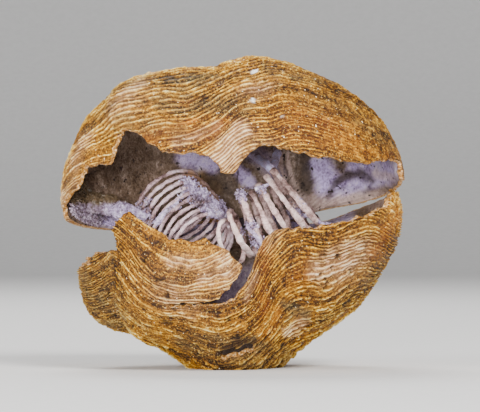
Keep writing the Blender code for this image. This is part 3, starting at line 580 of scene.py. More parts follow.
def cells(rows, columns, ring=False):
    """The point numbers of each cell's four corners, in rows of points that may close into rings."""
    i, j = grid(np.arange(rows - 1), np.arange(columns if ring else columns - 1))
    a, b = i * columns + j, i * columns + (j + 1) % columns
    return a, b, a + columns, b + columns


def triangles(*sets):
    """Triangles from sets of three corners. A corner is a point number or an array of them."""
    return np.concatenate([np.stack(np.broadcast_arrays(*corners), -1) for corners in sets])


# --- Valves ---


class GrowthLines:
    """The numbered growth lines of a valve. A spot between two lines has a number between two whole ones."""

    def __init__(self, form):
        self.form = form
        self.stages = np.linspace(0.0, 1.3, 1301)
        step = self.stages[1] - self.stages[0]
        spacing = ramp(self.stages, *form["line_spacing"])
        self.numbers = np.concatenate([[0.0], np.cumsum(step / spacing[1:])])
        count = int(self.numbers[-1]) + 2
        self.strengths = np.random.default_rng(7 + form["side"]).uniform(0.0, 1.0, count)

    def number(self, stage):
        return np.interp(stage, self.stages, self.numbers)

    def level(self, number):
        return np.interp(number, self.numbers, self.stages)

    def stage(self, number, azimuth):
        """The growth stage at which a line runs at an azimuth."""
        level = self.level(number)
        spacing = ramp(level, *self.form["line_spacing"])
        swerve = sum(
            shift * hump(azimuth, middle, width) * smooth(level, *stages)
            for shift, middle, width, stages in self.form["swerves"]
        )
        long_waves = rough(np.stack([number * 0.35, azimuth * 0.09], -1), 1.0, 11 + self.form["side"], 2)
        short_waves = lattice_noise(np.stack([number * 0.7, azimuth * 0.4], -1), 1.0, 15)
        return level + swerve + spacing * (0.55 * long_waves + self.form["wobble"] * short_waves)

    def relief(self, number, azimuth):
        """How proud each lamella stands, from 0 in a groove to 1 on a strong line's crest."""
        line = np.floor(number + 1e-6)
        phase = np.clip(number - line, 0.0, 1.0)
        profile = ramp(phase, *LAMELLA_PROFILE)
        share, middle, width = self.form["sparse"]
        common = ramp(self.level(number), *self.form["strong_lines"]) - share * hump(azimuth, middle, width)
        chance = self.strengths[np.clip(line.astype(int), 0, len(self.strengths) - 1)]
        along = lattice_noise(np.stack([line * 3.1, azimuth / 9.0], -1), 1.0, 23)
        strong = 1.0 - smooth(chance + 0.22 * along, common - 0.12, common + 0.12)
        dashes = smooth(lattice_noise(np.stack([line * 5.3, azimuth / 1.9], -1), 1.0, 27), -0.1, 0.5)
        return profile * (WEAK_LINE + (1.0 - WEAK_LINE) * strong) * (1.0 - self.form["broken"] * dashes)


def growth_grid(numbers, azimuths, lines):
    """Line numbers, stages and azimuths of a grid over a valve, with its triangles and a fan at the beak."""
    rows, columns = len(numbers), len(azimuths)
    number, azimuth = grid(numbers, azimuths)
    fields = np.stack([number, lines.stage(number, azimuth), azimuth], -1)
    beak, k = rows * columns, np.arange(columns - 1)
    a, b, c, d = cells(rows, columns)
    left = azimuth[a] < 0
    faces = triangles(
        (beak, k, k + 1),
        (a, c, np.where(left, d, b)),
        (np.where(left, a, b), np.where(left, d, c), np.where(left, b, d)),
    )
    return np.append(fields, [(0.0, 0.0, 0.0)], axis=0), faces


def clip(inside, fields, faces):
    """Cuts a grid where inside turns negative, and keeps its largest piece, with fields for its points."""
    inside = np.where(inside < 0, np.minimum(inside, -LEAST_OFFSET), np.maximum(inside, LEAST_OFFSET))
    signs = (inside[faces] > 0).sum(-1)
    kept = [tuple(face) for face in faces[signs == 3]]
    crossings, ends = {}, []

    def crossing(a, b):
        key = (min(a, b), max(a, b))
        if key not in crossings:
            crossings[key] = len(inside) + len(ends)
            ends.append(key)
        return crossings[key]

    for face in faces[(signs > 0) & (signs < 3)]:
        outline = []
        for a, b in zip(face, np.roll(face, -1)):
            if inside[a] > 0:
                outline.append(a)
            if inside[a] * inside[b] < 0:
                outline.append(crossing(a, b))
        kept += [(outline[0], outline[k], outline[k + 1]) for k in range(1, len(outline) - 1)]
    low, high = np.array(ends).T
    share = (inside[low] / (inside[low] - inside[high]))[:, None]
    fields = np.concatenate([fields, fields[low] + share * (fields[high] - fields[low])])
    return compact(fields, biggest_piece(len(fields), np.array(kept)))


def biggest_piece(count, faces):
    """The faces of the set with most faces that hang together."""
    label = np.arange(count)
    while True:
        low = label[faces].min(-1)
        fresh = label.copy()
        for corner in range(3):
            np.minimum.at(fresh, faces[:, corner], low)
        fresh = fresh[fresh]
        if (fresh == label).all():
            break
        label = fresh
    mark = label[faces[:, 0]]
    return faces[mark == np.bincount(mark).argmax()]


def compact(fields, faces):
    """Drops the points that no face uses."""
    used, flat = np.unique(faces, return_inverse=True)
    return fields[used], flat.reshape(faces.shape)


def rim_loops(faces):
    """The open edges of a face set, as closed loops of point numbers, longest first."""
    edges = np.concatenate([faces[:, [0, 1]], faces[:, [1, 2]], faces[:, [2, 0]]])
    there = {tuple(edge) for edge in edges.tolist()}
    after = {a: b for a, b in there if (b, a) not in there}
    loops = []
    while after:
        start = min(after)
        loop, at = [start], after.pop(start)
        while at != start:
            loop.append(at)
            at = after.pop(at)
        loops.append(loop)
    return sorted(loops, key=len, reverse=True)


def zip_loops(points, first, second):
    """Triangles between two loops that run side by side in the same direction."""
    a, b = np.array(first), np.array(second)
    b = np.roll(b, -np.linalg.norm(points[b] - points[a[0]], axis=-1).argmin())
    i = j = 0
    faces = []
    while i < len(a) or j < len(b):
        a0, a1 = a[i % len(a)], a[(i + 1) % len(a)]
        b0, b1 = b[j % len(b)], b[(j + 1) % len(b)]
        go_first = np.linalg.norm(points[a1] - points[b0]) <= np.linalg.norm(points[b1] - points[a0])
        if j >= len(b) or (i < len(a) and go_first):
            faces.append((a1, a0, b0))
            i += 1
        else:
            faces.append((a0, b0, b1))
            j += 1
    return faces


def close_wall(outer, outer_faces, inner, inner_faces, depth):
    """Joins an outer and an inner face by a rough rim, as points and triangles.

    Depth is the wall's direction and thickness at outer points."""
    points, count = [outer, inner], len(outer) + len(inner)
    inner_faces = inner_faces[:, ::-1] + len(outer)
    faces = [outer_faces, inner_faces]
    inner_loops = [loop[::-1] for loop in rim_loops(inner_faces)]
    for loop in rim_loops(outer_faces):
        rim = [np.array(loop)]
        for share, jitter, seed in RIM_STEPS:
            start = outer[loop] + depth[loop] * share
            points.append(start + jitter * rough_vector(outer[loop], 0.35, seed))
            rim.append(np.arange(count, count + len(loop)))
            count += len(loop)
        for a, b in zip(rim, rim[1:]):
            a1, b1 = np.roll(a, -1), np.roll(b, -1)
            faces.append(triangles((a1, a, b), (a1, b, b1)))
        everything = np.concatenate(points)
        centre = everything[rim[-1]].mean(0)
        apart = [np.linalg.norm(everything[other].mean(0) - centre) for other in inner_loops]
        unlike = [gap + abs(len(other) - len(loop)) for gap, other in zip(apart, inner_loops)]
        best = int(np.argmin(unlike)) if unlike else None
        if best is None or apart[best] > FURTHEST_RIM:
            faces.append(fan(rim[-1]))
        else:
            faces.append(np.array(zip_loops(everything, rim[-1], inner_loops.pop(best))))
    for loop in inner_loops:
        faces.append(fan(np.array(loop))[:, ::-1])
    return np.concatenate(points), np.concatenate(faces)


def fan(loop):
    """Closes a small loop, with the same facing as a rim strip that ends on it."""
    return triangles((loop[0], loop[2:], loop[1:-1]))


def rough_vector(points, cell, seed):
    return np.stack([rough(points, cell, seed + 10 * axis, 2) for axis in range(3)], -1)


def front_columns(low, high, count):
    """Azimuths from low to high, twice as close together on the front wall as behind it."""
    fine = np.linspace(low, high, 2001)
    density = 0.5 + 0.5 * smooth(fine, -118.0, -100.0) * (1.0 - smooth(fine, 88.0, 106.0))
    share = np.concatenate([[0.0], np.cumsum(density[1:])])
    return np.interp(np.linspace(0.0, share[-1], count), share, fine)


def settle(points, floor):
    """Flattens the lowest part of a valve, as far as the fossil rests on it."""
    z = points[..., 2]
    points[..., 2] = np.maximum(z - RESTING_BAND * (1.0 - smooth(z, 0.3, 2.0)), floor)
    return points


def ragged(form, stage, azimuth):
    """How far a spot lies inside the nearest edge, with the small steps and bites of a broken edge."""
    inside = to_edge(form, stage, azimuth)
    point = valve_point(form, stage, azimuth)
    return inside + 0.3 * rough(point, 0.6, 31, 2) + 0.18 * rough(point, 1.5, 33, 2)


def skin(form, lines, number, stage, azimuth):
    """The outer face with its lamellae, beads, lumps and pits, and the values that its colours come from."""
    point = valve_point(form, stage, azimuth)
    normal = outward(form, stage, azimuth)
    end = hinge_azimuth(form)
    level = lines.level(number)
    fade = smooth(stage, 0.05, 0.2) * (1.0 - smooth(np.abs(azimuth), end - 18.0, end - 4.0))
    share, middle, width = form["faint"]
    vague = share * hump(azimuth, middle, width)
    relief = lines.relief(number, azimuth) * fade * (1.0 - vague)
    grains = smooth(lattice_noise(point, 0.42, 55), -0.2, 0.6) * vague
    height = ramp(level, *form["lamella_height"]) * (relief - 0.5 * fade)
    beads = rough(point, 0.5, 41, 2)
    lumps = rough(point, 2.6, 43, 2)
    grit = lattice_noise(point, 0.62, 45)
    pits = smooth(grit, *PIT_GRIT) * smooth(rough(point, 5.0, 47, 2), -0.25, 0.35)
    height = height * (1.0 + 0.7 * beads) + 0.05 * beads + 0.09 * lumps
    height = height + 0.05 * rough(point, 1.1, 49, 2) - 0.2 * pits + 0.1 * grains
    band = lattice_noise(np.stack([number / 2.3, azimuth / 22.0], -1), 1.0, 53)
    values = {
        # The relief also sets the colour, grooves dark and crests bright: partly grime in the grooves, partly
        # painted shade in them and painted highlight on the crests
        "relief": np.clip(relief ** form["crest"] * (0.9 + 0.8 * beads) + 0.75 * grains, 0.0, 1.0),
        "pit": pits,
        "lump": np.clip(0.5 + 0.5 * band + 0.4 * lumps, 0.0, 1.0),
    }
    facing = smooth(-normal[:, 1], -0.1, 0.2)
    for name, strokes in form["stains"].items():
        values[name] = np.maximum(values.get(name, 0.0), facing * painted(front_view(point), point, strokes))
    for name, marks in form["marks"].items():
        value = values[name]
        for strength, at, width, at_stage, stage_width in marks:
            patch = hump(azimuth, at, width) * hump(level, at_stage, stage_width)
            value = np.maximum(value, strength * patch)
        values[name] = np.clip(value * (1.0 + 0.9 * rough(point, 0.9, 51, 2)), 0.0, 1.0)
    values["wear"] = values["wear"] * (0.2 + 0.8 * smooth(values["relief"], 0.1, 0.5))
    return point + normal * height[:, None], normal, values


def wall_thickness(form, stage, azimuth):
    inside = np.maximum(to_edge(form, stage, azimuth), 0.0)
    return SHELL_EDGE + (SHELL - SHELL_EDGE) * smooth(inside, 0.0, THINNING)


def lining(form, stage, azimuth):
    """The inner face with its ripples and grains, and the values that its colours come from."""
    point = valve_point(form, stage, azimuth)
    thickness = wall_thickness(form, stage, azimuth)
    druse = smooth(rough(point, 3.0, 61, 2), -0.1, 0.5)
    ripple, grain = rough(point, 1.8, 63, 2), rough(point, 0.45, 65, 2)
    thickness = thickness + 0.09 * ripple + (0.03 + 0.07 * druse) * grain
    thickness = thickness + 0.05 * np.sin(stage * 90.0 + 2.0 * rough(point, 4.0, 67, 2))
    seen = front_view(point)
    values = {name: painted(seen, point, strokes) for name, strokes in form["lining_marks"].items()}
    return settle(point - outward(form, stage, azimuth) * thickness[:, None], RESTING_BAND), values


def painted(seen, point, strokes):
    """How strongly strokes on the front view cover points, from 0 to 1."""
    value = np.zeros(len(seen))
    wobble = 0.3 * np.stack([rough(point, 0.9, 71, 2), rough(point, 0.9, 73, 2)], -1)
    for start, finish, half_width, soft, strength in strokes:
        start, run = np.array(start), np.array(finish) - np.array(start)
        along = np.clip(((seen + wobble - start) @ run) / (run @ run), 0.0, 1.0)
        gap = np.linalg.norm(seen + wobble - start - along[:, None] * run, axis=-1)
        cover = 1.0 - smooth(gap, half_width - soft / 2, half_width + soft / 2)
        value = np.maximum(value, strength * cover)
    return value


def valve_face(form, lines, numbers, columns):
    """One face of a valve, cut along its ragged edges, as fields and triangles."""
    end = hinge_azimuth(form) + (HINGE_AREA_SPAN if any(form["beak"]) else 0.0)
    fields, faces = growth_grid(numbers, front_columns(-end, end, columns), lines)
    return clip(ragged(form, *fields.T[1:]), fields, faces)


def make_valve(name, form, replaced):
    lines = GrowthLines(form)
    most = max(stage for _, stage in form["margin"])
    last = int(lines.number(most)) + 2
    numbers = np.array([line + part for line in range(2, last) for part, _ in LAMELLA_PROFILE[:-1]])
    fields, outer_faces = valve_face(form, lines, numbers, OUTER_COLUMNS)
    outer, normal, outer_values = skin(form, lines, *fields.T)
    depth = -normal * wall_thickness(form, *fields.T[1:])[:, None]
    numbers = lines.number(np.linspace(0.05, most, INNER_ROWS))
    inner_fields, inner_faces = valve_face(form, lines, numbers, INNER_COLUMNS)
    inner, inner_values = lining(form, *inner_fields.T[1:])
    points, faces = close_wall(settle(outer, 0.0), outer_faces, inner, inner_faces, depth)
    if form["side"] < 0:
        faces = faces[:, ::-1]
    valve = mesh_object(name, points, faces)
    for first, values in ((0, outer_values), (len(outer), inner_values)):
        for key, value in values.items():
            whole = np.zeros(len(points))
            whole[first : first + len(value)] = value
            add_values(valve, key, whole)
    for part, look in (("_skin", SHELL_LOOK), ("_lining", LINING_LOOK), ("_rim", RIM_LOOK)):
        valve.data.materials.append(stone_material(name + part, look))
    is_inner, is_rim = (faces >= len(outer)).any(-1), (faces >= len(outer) + len(inner)).any(-1)
    slot = np.where(is_rim, 2, np.where(is_inner, 1, 0)).astype(np.int32)
    valve.data.polygons.foreach_set("material_index", slot)
    belongs(valve, "golden_shell", replaced)


def mesh_object(name, points, faces, smooth_faces=True):
    mesh = bpy.data.meshes.new(name)
    mesh.from_pydata((np.asarray(points) * MM).tolist(), [], np.asarray(faces).tolist())
    if smooth_faces:
        mesh.polygons.foreach_set("use_smooth", np.ones(len(mesh.polygons), bool))
    mesh.update()
    made = bpy.data.objects.new(name, mesh)
    bpy.context.scene.collection.objects.link(made)
    return made


def mesh_points(made):
    """A mesh's points in mm."""
    points = np.empty(3 * len(made.data.vertices))
    made.data.vertices.foreach_get("co", points)
    return points.reshape(-1, 3) / MM


def add_values(made, name, values):
    attribute = made.data.attributes.new(name, "FLOAT", "POINT")
    attribute.data.foreach_set("value", np.asarray(values, np.float32))


def belongs(made, slot, *replaced):
    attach(made, "root")
    if replaced:
        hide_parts(*replaced)


# --- Arm supports ---


def coil_path(knots):
    """The middle line of a coil, and its axis' direction at each point, at even steps of turn."""
    turns = knots[-1][0]
    at = np.linspace(0.0, turns, int(turns * COIL_STEPS) + 1)
    centre, first, second = (
        np.stack([through(at, [(knot[0], knot[part][axis]) for knot in knots]) for axis in range(3)], -1)
        for part in (1, 2, 3)
    )
    angle = 2.0 * math.pi * at[:, None]
    return centre + first * np.cos(angle) + second * np.sin(angle), unit(np.cross(first, second))


def tube(path, side, half_width, half_thickness, sides, *noises):
    """A closed tube with rounded edges along a path, and its middle line's point for each of its points.

    Half sizes may change along it. Noises that roughen it are their strength, cell and seed."""
    along = unit(np.gradient(path, axis=0))
    across = unit(side - along * (side * along).sum(-1, keepdims=True))
    over = np.cross(along, across)
    turn = np.arange(sides) * 2.0 * math.pi / sides
    squared = np.sign(np.cos(turn)) * np.abs(np.cos(turn)) ** 0.7
    half_width, half_thickness = (
        np.broadcast_to(half, len(path))[:, None, None] for half in (half_width, half_thickness)
    )
    rings = (
        path[:, None]
        + half_width * squared[None, :, None] * across[:, None]
        + half_thickness * np.sin(turn)[None, :, None] * over[:, None]
    )
    a, b, c, d = cells(len(path), sides, True)
    end, last, k = len(path) * sides, (len(path) - 1) * sides, np.arange(sides)
    faces = triangles(
        (a, b, d), (a, d, c), (end, (k + 1) % sides, k), (end + 1, last + k, last + (k + 1) % sides)
    )
    points = np.concatenate([rings.reshape(-1, 3), path[:1], path[-1:]])
    middle = np.concatenate([np.repeat(path, sides, axis=0), path[:1], path[-1:]])
    away = points - middle
    length = np.maximum(np.linalg.norm(away, axis=-1, keepdims=True), 1e-6)
    push = sum(strength * rough(points, cell, seed, 2) for strength, cell, seed in noises)
    return points + away / length * push[:, None], faces, middle


def make_coil(name, knots, replaced, form):
    path, axis = coil_path(knots)
    width = form["width"] / 2 * (1.0 + form["unevenness"] * rough(path, 1.5, 81, 2))
    thickness = form["thickness"] / 2 * (1.0 + 0.25 * rough(path, 0.9, 83, 2))
    points, faces, middle = tube(path, axis, width, thickness, COIL_SIDES, (0.1, 0.6, 85), (0.07, 0.25, 87))
    coil = mesh_object(name, points, faces)
    # Painted shade over random grime: the ribbons are darker deeper in the shell and on each ribbon's back
    # flank
    rear = form["rear_shade"] * smooth(points[:, 1], *form["rear"])
    flank = 0.8 * smooth(points[:, 1] - middle[:, 1], -0.06, 0.16)
    add_values(coil, "grime", smooth(rough(points, 1.6, 89, 3), -0.2, 0.5) + rear + flank)
    add_values(coil, "ochre", painted(front_view(points), points, form["ochre"]))
    coil.data.materials.append(stone_material(name + "_ribbon", RIBBON_LOOK, form["tint"]))
    belongs(coil, "pale_support", replaced)
    make_druse(name + "_druse", path, form, replaced)


def make_druse(name, path, form, replaced):
    """Sugary crystals on the stretches of a coil that its crust strokes cover, with lumps and slabs."""
    random = np.random.default_rng(form["seed"])
    cover = painted(front_view(path), path, form["crust"])
    picks = random.choice(len(path), form["crystals"], p=cover / cover.sum())
    centres = path[picks] + random.normal(0.0, 0.2, (len(picks), 3)) + np.array(DRUSE_LEAN)
    parts = [crystals(centres, random.uniform(0.05, 0.16, len(picks)), form["seed"])]
    for index, (centre, radius) in enumerate(form["lumps"]):
        around = unit(random.normal(size=(DRUSE_LUMP_GRAINS, 3)))
        reach = radius * (0.86 + 0.14 * rough(around * radius, 0.7, 117, 2))
        parts.append(lump_mesh(centre, radius * 0.88, 120 + index))
        sizes = random.uniform(0.05, 0.15, DRUSE_LUMP_GRAINS)
        parts.append(crystals(np.array(centre) + around * reach[:, None], sizes, 130 + index))
    for route, half_width, half_thickness in form["slabs"]:
        middle = smooth_path(route, 40)
        side = np.cross(unit(np.gradient(middle, axis=0)), np.array((0.3, 1.0, 0.2)))
        noises = (0.12, 0.7, 141), (0.05, 0.25, 143)
        parts.append(tube(middle, side, half_width, half_thickness, ROD_SIDES, *noises)[:2])
    druse = make_piece(name, parts, stone_material(name + "_sugar", CRUST_LOOK), "mineral_crust", replaced)
    add_values(druse, "grime", smooth(rough(mesh_points(druse), 1.3, 119, 2), 0.1, 0.6) * 0.5)


def smooth_path(points, count):
    """A smooth curve through points, at even steps."""
    at = np.linspace(0.0, len(points) - 1.0, count)
    return np.stack([through(at, list(enumerate(axis))) for axis in zip(*points)], -1)


def make_support():
    parts = []
    for route, side, half_width, half_thickness in SUPPORTS:
        noises = (0.12, 0.8, 91), (0.05, 0.3, 93)
        path = smooth_path(route, 90)
        parts.append(tube(path, np.array(side), half_width, half_thickness, ROD_SIDES, *noises)[:2])
    stone = stone_material("crura_stone", RIBBON_LOOK, STRUT_TINT)
    support = make_piece("crura", parts, stone, "pale_support", "crural_support")
    points = mesh_points(support)
    # Painted shade: the hinge plate, deep at the back of the shell, is darkened on top of the random grime
    plate_shade = smooth(points[:, 1], 8.0, 9.0) * (1.0 - smooth(points[:, 2], 16.0, 17.0))
    add_values(support, "grime", smooth(rough(points, 1.6, 95, 3), -0.1, 0.6) + plate_shade)


# --- Mineral crust ---


def crystals(centres, sizes, seed):
    """Small crystals, as points and triangles. Each is a double pyramid, turned and stretched at random."""
    random = np.random.default_rng(seed)
    corners = np.array([(1, 0, 0), (0, 1, 0), (-1, 0, 0), (0, -1, 0), (0, 0, 1.3), (0, 0, -1.3)])
    sides = np.array([(0, 1, 4), (1, 2, 4), (2, 3, 4), (3, 0, 4), (1, 0, 5), (2, 1, 5), (3, 2, 5), (0, 3, 5)])
    turns = np.linalg.qr(random.normal(size=(len(centres), 3, 3)))[0]
    turns[np.linalg.det(turns) < 0] *= -1.0
    shape = corners * random.uniform(0.7, 1.2, (len(centres), 1, 3)) * np.asarray(sizes)[:, None, None]
    points = centres[:, None] + shape @ np.swapaxes(turns, 1, 2)
    faces = sides[None] + 6 * np.arange(len(centres))[:, None, None]
    return points.reshape(-1, 3), faces.reshape(-1, 3)


def lining_crystals(seed):
    """Crystals on the upper valve's lining, where strokes on the front view cover it."""
    random = np.random.default_rng(seed)
    stage = random.uniform(*LINING_GRAIN_STAGES, LINING_GRAINS)
    azimuth = random.uniform(*LINING_GRAIN_AZIMUTHS, LINING_GRAINS)
    point, _ = lining(UPPER, stage, azimuth)
    there = painted(front_view(point), point, LINING_GRAIN_STROKES) > random.uniform(0.0, 1.0, LINING_GRAINS)
    there &= ragged(UPPER, stage, azimuth) > 0.3
    return crystals(point[there], random.uniform(0.06, 0.19, there.sum()), seed)


def make_crust():
    stages, azimuths, (rise, turn) = CRUST_STAGES, CRUST_AZIMUTHS, CRUST_TAPER
    stage, azimuth = grid(np.linspace(*stages, CRUST_ROWS), np.linspace(*azimuths, CRUST_COLUMNS))
    surface, normal = valve_point(UPPER, stage, azimuth), outward(UPPER, stage, azimuth)
    edge = np.minimum.reduce([
        (stage - stages[0]) / rise, (stages[1] - stage) / rise,
        (azimuth - azimuths[0]) / turn, (azimuths[1] - azimuth) / turn,
    ])
    depth = CRUST_DEPTH * (0.62 + 0.45 * rough(surface, 1.1, 101, 3)) * np.clip(edge, 0.15, 1.0)
    base = SHELL + CRUST_GAP
    front, back = surface - normal * (base + depth)[:, None], surface - normal * base
    a, b, c, d = cells(CRUST_ROWS, CRUST_COLUMNS)
    sheet = triangles((a, c, b), (b, c, d))
    parts = [close_wall(back, sheet, front, sheet, -normal * depth[:, None])]
    random = np.random.default_rng(103)
    pick = random.integers(0, len(front), CRUST_GRAINS)
    centres = front[pick] + random.normal(0.0, 0.12, (CRUST_GRAINS, 3))
    sizes = random.uniform(0.07, 0.18, CRUST_GRAINS)
    for centre, radius in CRUST_LUMPS:
        around = unit(random.normal(size=(CRUST_LUMP_GRAINS, 3)))
        reach = radius * (0.78 + 0.16 * rough(around * radius, 0.9, 107, 2))
        centres = np.concatenate([centres, np.array(centre) + around * reach[:, None]])
        sizes = np.concatenate([sizes, random.uniform(0.07, 0.2, CRUST_LUMP_GRAINS)])
    parts += [crystals(centres, sizes, 105), lining_crystals(113)]
    for index, (centre, radius) in enumerate(CRUST_LUMPS):
        parts.append(lump_mesh(centre, radius * 0.86, 110 + index))
    stone = stone_material("crust_druse", CRUST_LOOK)
    crust = make_piece("crust", parts, stone, "mineral_crust", "mineral_crust")
    points = mesh_points(crust)
    wander = 0.7 * rough(points, 1.5, 109, 2)
    shade = smooth(points[:, 2] + wander, 16.7, 17.5) + 0.45 * smooth(wander - points[:, 0], 12.5, 14.5)
    add_values(crust, "grime", np.clip(shade, 0.0, 1.0))


def lump_mesh(centre, radius, seed):
    """A closed knobbly ball, as points and triangles."""
    rings, around = LUMP_RINGS - 1, 2 * LUMP_RINGS
    lat, lon = grid(np.linspace(0.0, math.pi, rings + 2)[1:-1], np.arange(around) * 2.0 * math.pi / around)
    ball = np.stack([np.sin(lat) * np.cos(lon), np.sin(lat) * np.sin(lon), np.cos(lat)], -1)
    ball = np.concatenate([ball, [(0.0, 0.0, 1.0), (0.0, 0.0, -1.0)]])
    points = np.array(centre) + ball * radius * (1.0 + 0.14 * rough(ball * radius, 0.8, seed, 3))[:, None]
    a, b, c, d = cells(rings, around, True)
    top, last, k = rings * around, (rings - 1) * around, np.arange(around)
    return points, triangles(
        (a, c, b), (b, c, d), (top, k, (k + 1) % around), (top + 1, last + (k + 1) % around, last + k)
    )


def make_piece(name, parts, material, slot, *replaced):
    """One object from several closed meshes."""
    points, faces, count = [], [], 0
    for part_points, part_faces in parts:
        points.append(part_points)
        faces.append(part_faces + count)
        count += len(part_points)
    made = mesh_object(name, np.concatenate(points), np.concatenate(faces), False)
    made.data.materials.append(material)
    belongs(made, slot, *replaced)
    return made


# --- Materials ---


def rgb(red, green, blue):
    """A screen colour from 0 to 255, as the linear colour that shaders take."""
    return tuple((value / 255.0) ** 2.2 for value in (red, green, blue)) + (1.0,)


def node(tree, kind, sockets=None, **settings):
    made = tree.nodes.new("ShaderNode" + kind)
    for key, value in settings.items():
        setattr(made, key, value)
    for key, value in (sockets or {}).items():
        if isinstance(value, bpy.types.NodeSocket):
            tree.links.new(value, made.inputs[key])
        else:
            made.inputs[key].default_value = value
    return made


def value_of(tree, name):
    return node(tree, "Attribute", attribute_name=name).outputs["Fac"]


def maths(tree, operation, a, b, clamp=False):
    return node(tree, "Math", {0: a, 1: b}, operation=operation, use_clamp=clamp).outputs[0]


def speckle(tree, cell, detail=3.0, roughness=0.6):
    """Noise from 0 to 1 with features of about a cell, in mm."""
    where = node(tree, "TexCoord").outputs["Object"]
    sockets = {"Vector": where, "Scale": 1.0 / (cell * MM), "Detail": detail, "Roughness": roughness}
    return node(tree, "TexNoise", sockets).outputs["Fac"]


def spots(tree, cell, least, strength):
    """The strength in the few spots where noise rises over least, and 0 elsewhere."""
    above = maths(tree, "SUBTRACT", speckle(tree, cell, 1.0, 0.5), least)
    return maths(tree, "MULTIPLY", maths(tree, "DIVIDE", above, 0.05, True), strength)


def sum_of(tree, start, terms):
    """Start plus each (value, factor, middle) term, where a term is worth nothing at its middle."""
    total = start
    for value, factor, middle in terms:
        offset = maths(tree, "SUBTRACT", value, middle)
        total = maths(tree, "ADD", total, maths(tree, "MULTIPLY", offset, factor))
    return total


def colours(tree, factor, stops):
    """The colour that stops give at a factor. One stop is the same colour everywhere."""
    if len(stops) == 1:
        return rgb(*stops[0][1])
    made = node(tree, "ValToRGB", {"Fac": factor})
    elements = made.color_ramp.elements
    while len(elements) < len(stops):
        elements.new(0.5)
    for element, (position, colour) in zip(elements, stops):
        element.position = position
        element.color = rgb(*colour)
    return made.outputs["Color"]


def blend(tree, factor, a, b, kind="MIX"):
    return node(tree, "Mix", {0: factor, 6: a, 7: b}, data_type="RGBA", blend_type=kind).outputs[2]


# How each stone looks. Its tone is a start, plus its grains (cell in mm, share of the tone, share of the
# bump) and its mesh's values (name, share, middle). The tone picks its colours. A layer over them is a
# value's name or spots (cell, least, strength), with the colours that it has at tones.
SHELL_LOOK = {
    "roughness": 0.6, "specular": 0.25, "bump": 0.12, "start": 0.16,
    "grains": ((0.4, 0.8, 1.0), (0.17, 1.2, 0.7), (2.5, 0.4, 0.0)),
    # relief paints the grooves dark and the crests bright: partly grime in the grooves, partly painted shade
    # in them and painted highlight on the crests
    "values": (("relief", 0.74, 0.0), ("lump", 0.3, 0.5)),
    "colours": (
        (0.0, (38, 21, 5)), (0.2, (92, 57, 12)), (0.42, (150, 97, 18)), (0.62, (194, 138, 34)),
        (0.82, (234, 190, 80)), (1.0, (255, 234, 160)),
    ),
    "layers": (
        ("rust", (0.0, (112, 54, 2)), (1.0, (232, 146, 16))),
        # wear: pale worn crests, and at the lower valve's lower right partly a painted highlight
        ("wear", (0.0, (226, 158, 100)), (1.0, (255, 240, 206))),
        # soot: dark stains, and on the lower valve partly painted shade along the bottom, at the lower left
        # and round the pit
        ("soot", (0.0, (26, 21, 15)), (1.0, (138, 108, 66))),
        # Painted highlights: these golden glints and the pale specks below are bright spots of colour that
        # stand in for light sparkling on the grains
        ((0.2, 0.64, 0.35), (0.0, (255, 214, 112))),
        ((0.3, 0.74, 1.0), (0.0, (255, 232, 190))),
        ((0.34, 0.72, 0.7), (0.0, (50, 27, 8))),
        ("pit", (0.0, (40, 22, 8))),
        ("speck", (0.0, (255, 252, 244))),
    ),
}
LINING_LOOK = {
    "roughness": 0.55, "bump": 0.18, "start": 0.5,
    "grains": ((0.6, 1.1, 1.0), (0.22, 0.9, 0.7), (2.8, 1.0, 0.0)),
    "colours": (
        (0.0, (50, 37, 27)), (0.25, (84, 65, 50)), (0.5, (116, 94, 76)), (0.75, (150, 128, 112)),
        (1.0, (204, 184, 172)),
    ),
    "layers": (
        (
            "lilac", (0.0, (82, 64, 90)), (0.22, (160, 136, 186)), (0.5, (216, 194, 246)),
            (0.8, (244, 228, 255)),
        ),
        ("pink", (0.0, (150, 116, 104)), (1.0, (248, 220, 210))),
        ("ochre", (0.0, (90, 60, 30)), (1.0, (186, 146, 92))),
        ("dark", (0.0, (40, 28, 22)), (1.0, (92, 74, 62))),
        ((0.5, 0.68, 1.0), (0.0, (44, 30, 26))),
    ),
}
RIM_LOOK = {
    "roughness": 0.55, "bump": 0.12, "start": 0.5,
    "grains": ((0.35, 1.8, 1.0), (0.1, 1.2, 0.6)),
    "colours": ((0.0, (62, 36, 12)), (0.35, (150, 98, 34)), (0.6, (200, 146, 74)), (0.85, (240, 210, 170))),
}
RIBBON_LOOK = {
    "roughness": 0.4, "bump": 0.12, "start": 0.72,
    "grains": ((0.6, 1.3, 1.0), (0.2, 1.0, 0.7)),
    # This grime value is random grime plus painted shade: deeper in the shell and on the back flanks of the
    # coils, and on the hinge plate
    "values": (("grime", -0.5, 0.2),),
    "colours": (
        (0.0, (70, 52, 46)), (0.3, (146, 118, 114)), (0.55, (208, 176, 174)), (0.8, (244, 216, 214)),
        (1.0, (255, 240, 240)),
    ),
    "layers": (("ochre", (0.0, (58, 36, 18)), (1.0, (176, 132, 88))),),
}
CRUST_LOOK = {
    "roughness": 0.3, "bump": 0.06, "start": 0.62,
    "grains": ((0.3, 1.7, 1.0), (1.6, 1.0, 0.0)),
    "values": (("grime", -0.2, 0.0),),
    "colours": (
        (0.0, (50, 36, 28)), (0.25, (98, 80, 84)), (0.5, (158, 138, 172)), (0.75, (212, 194, 228)),
        (1.0, (248, 238, 252)),
    ),
    "layers": (("grime", (0.0, (58, 44, 30)), (1.0, (140, 118, 92))),),
}
PAPER_LOOK = {
    "roughness": 0.9, "bump": 0.01, "start": 0.5,
    "grains": ((1.5, 1.0, 1.0),),
    "colours": ((0.3, (226, 224, 221)), (0.7, (232, 230, 227))),
}


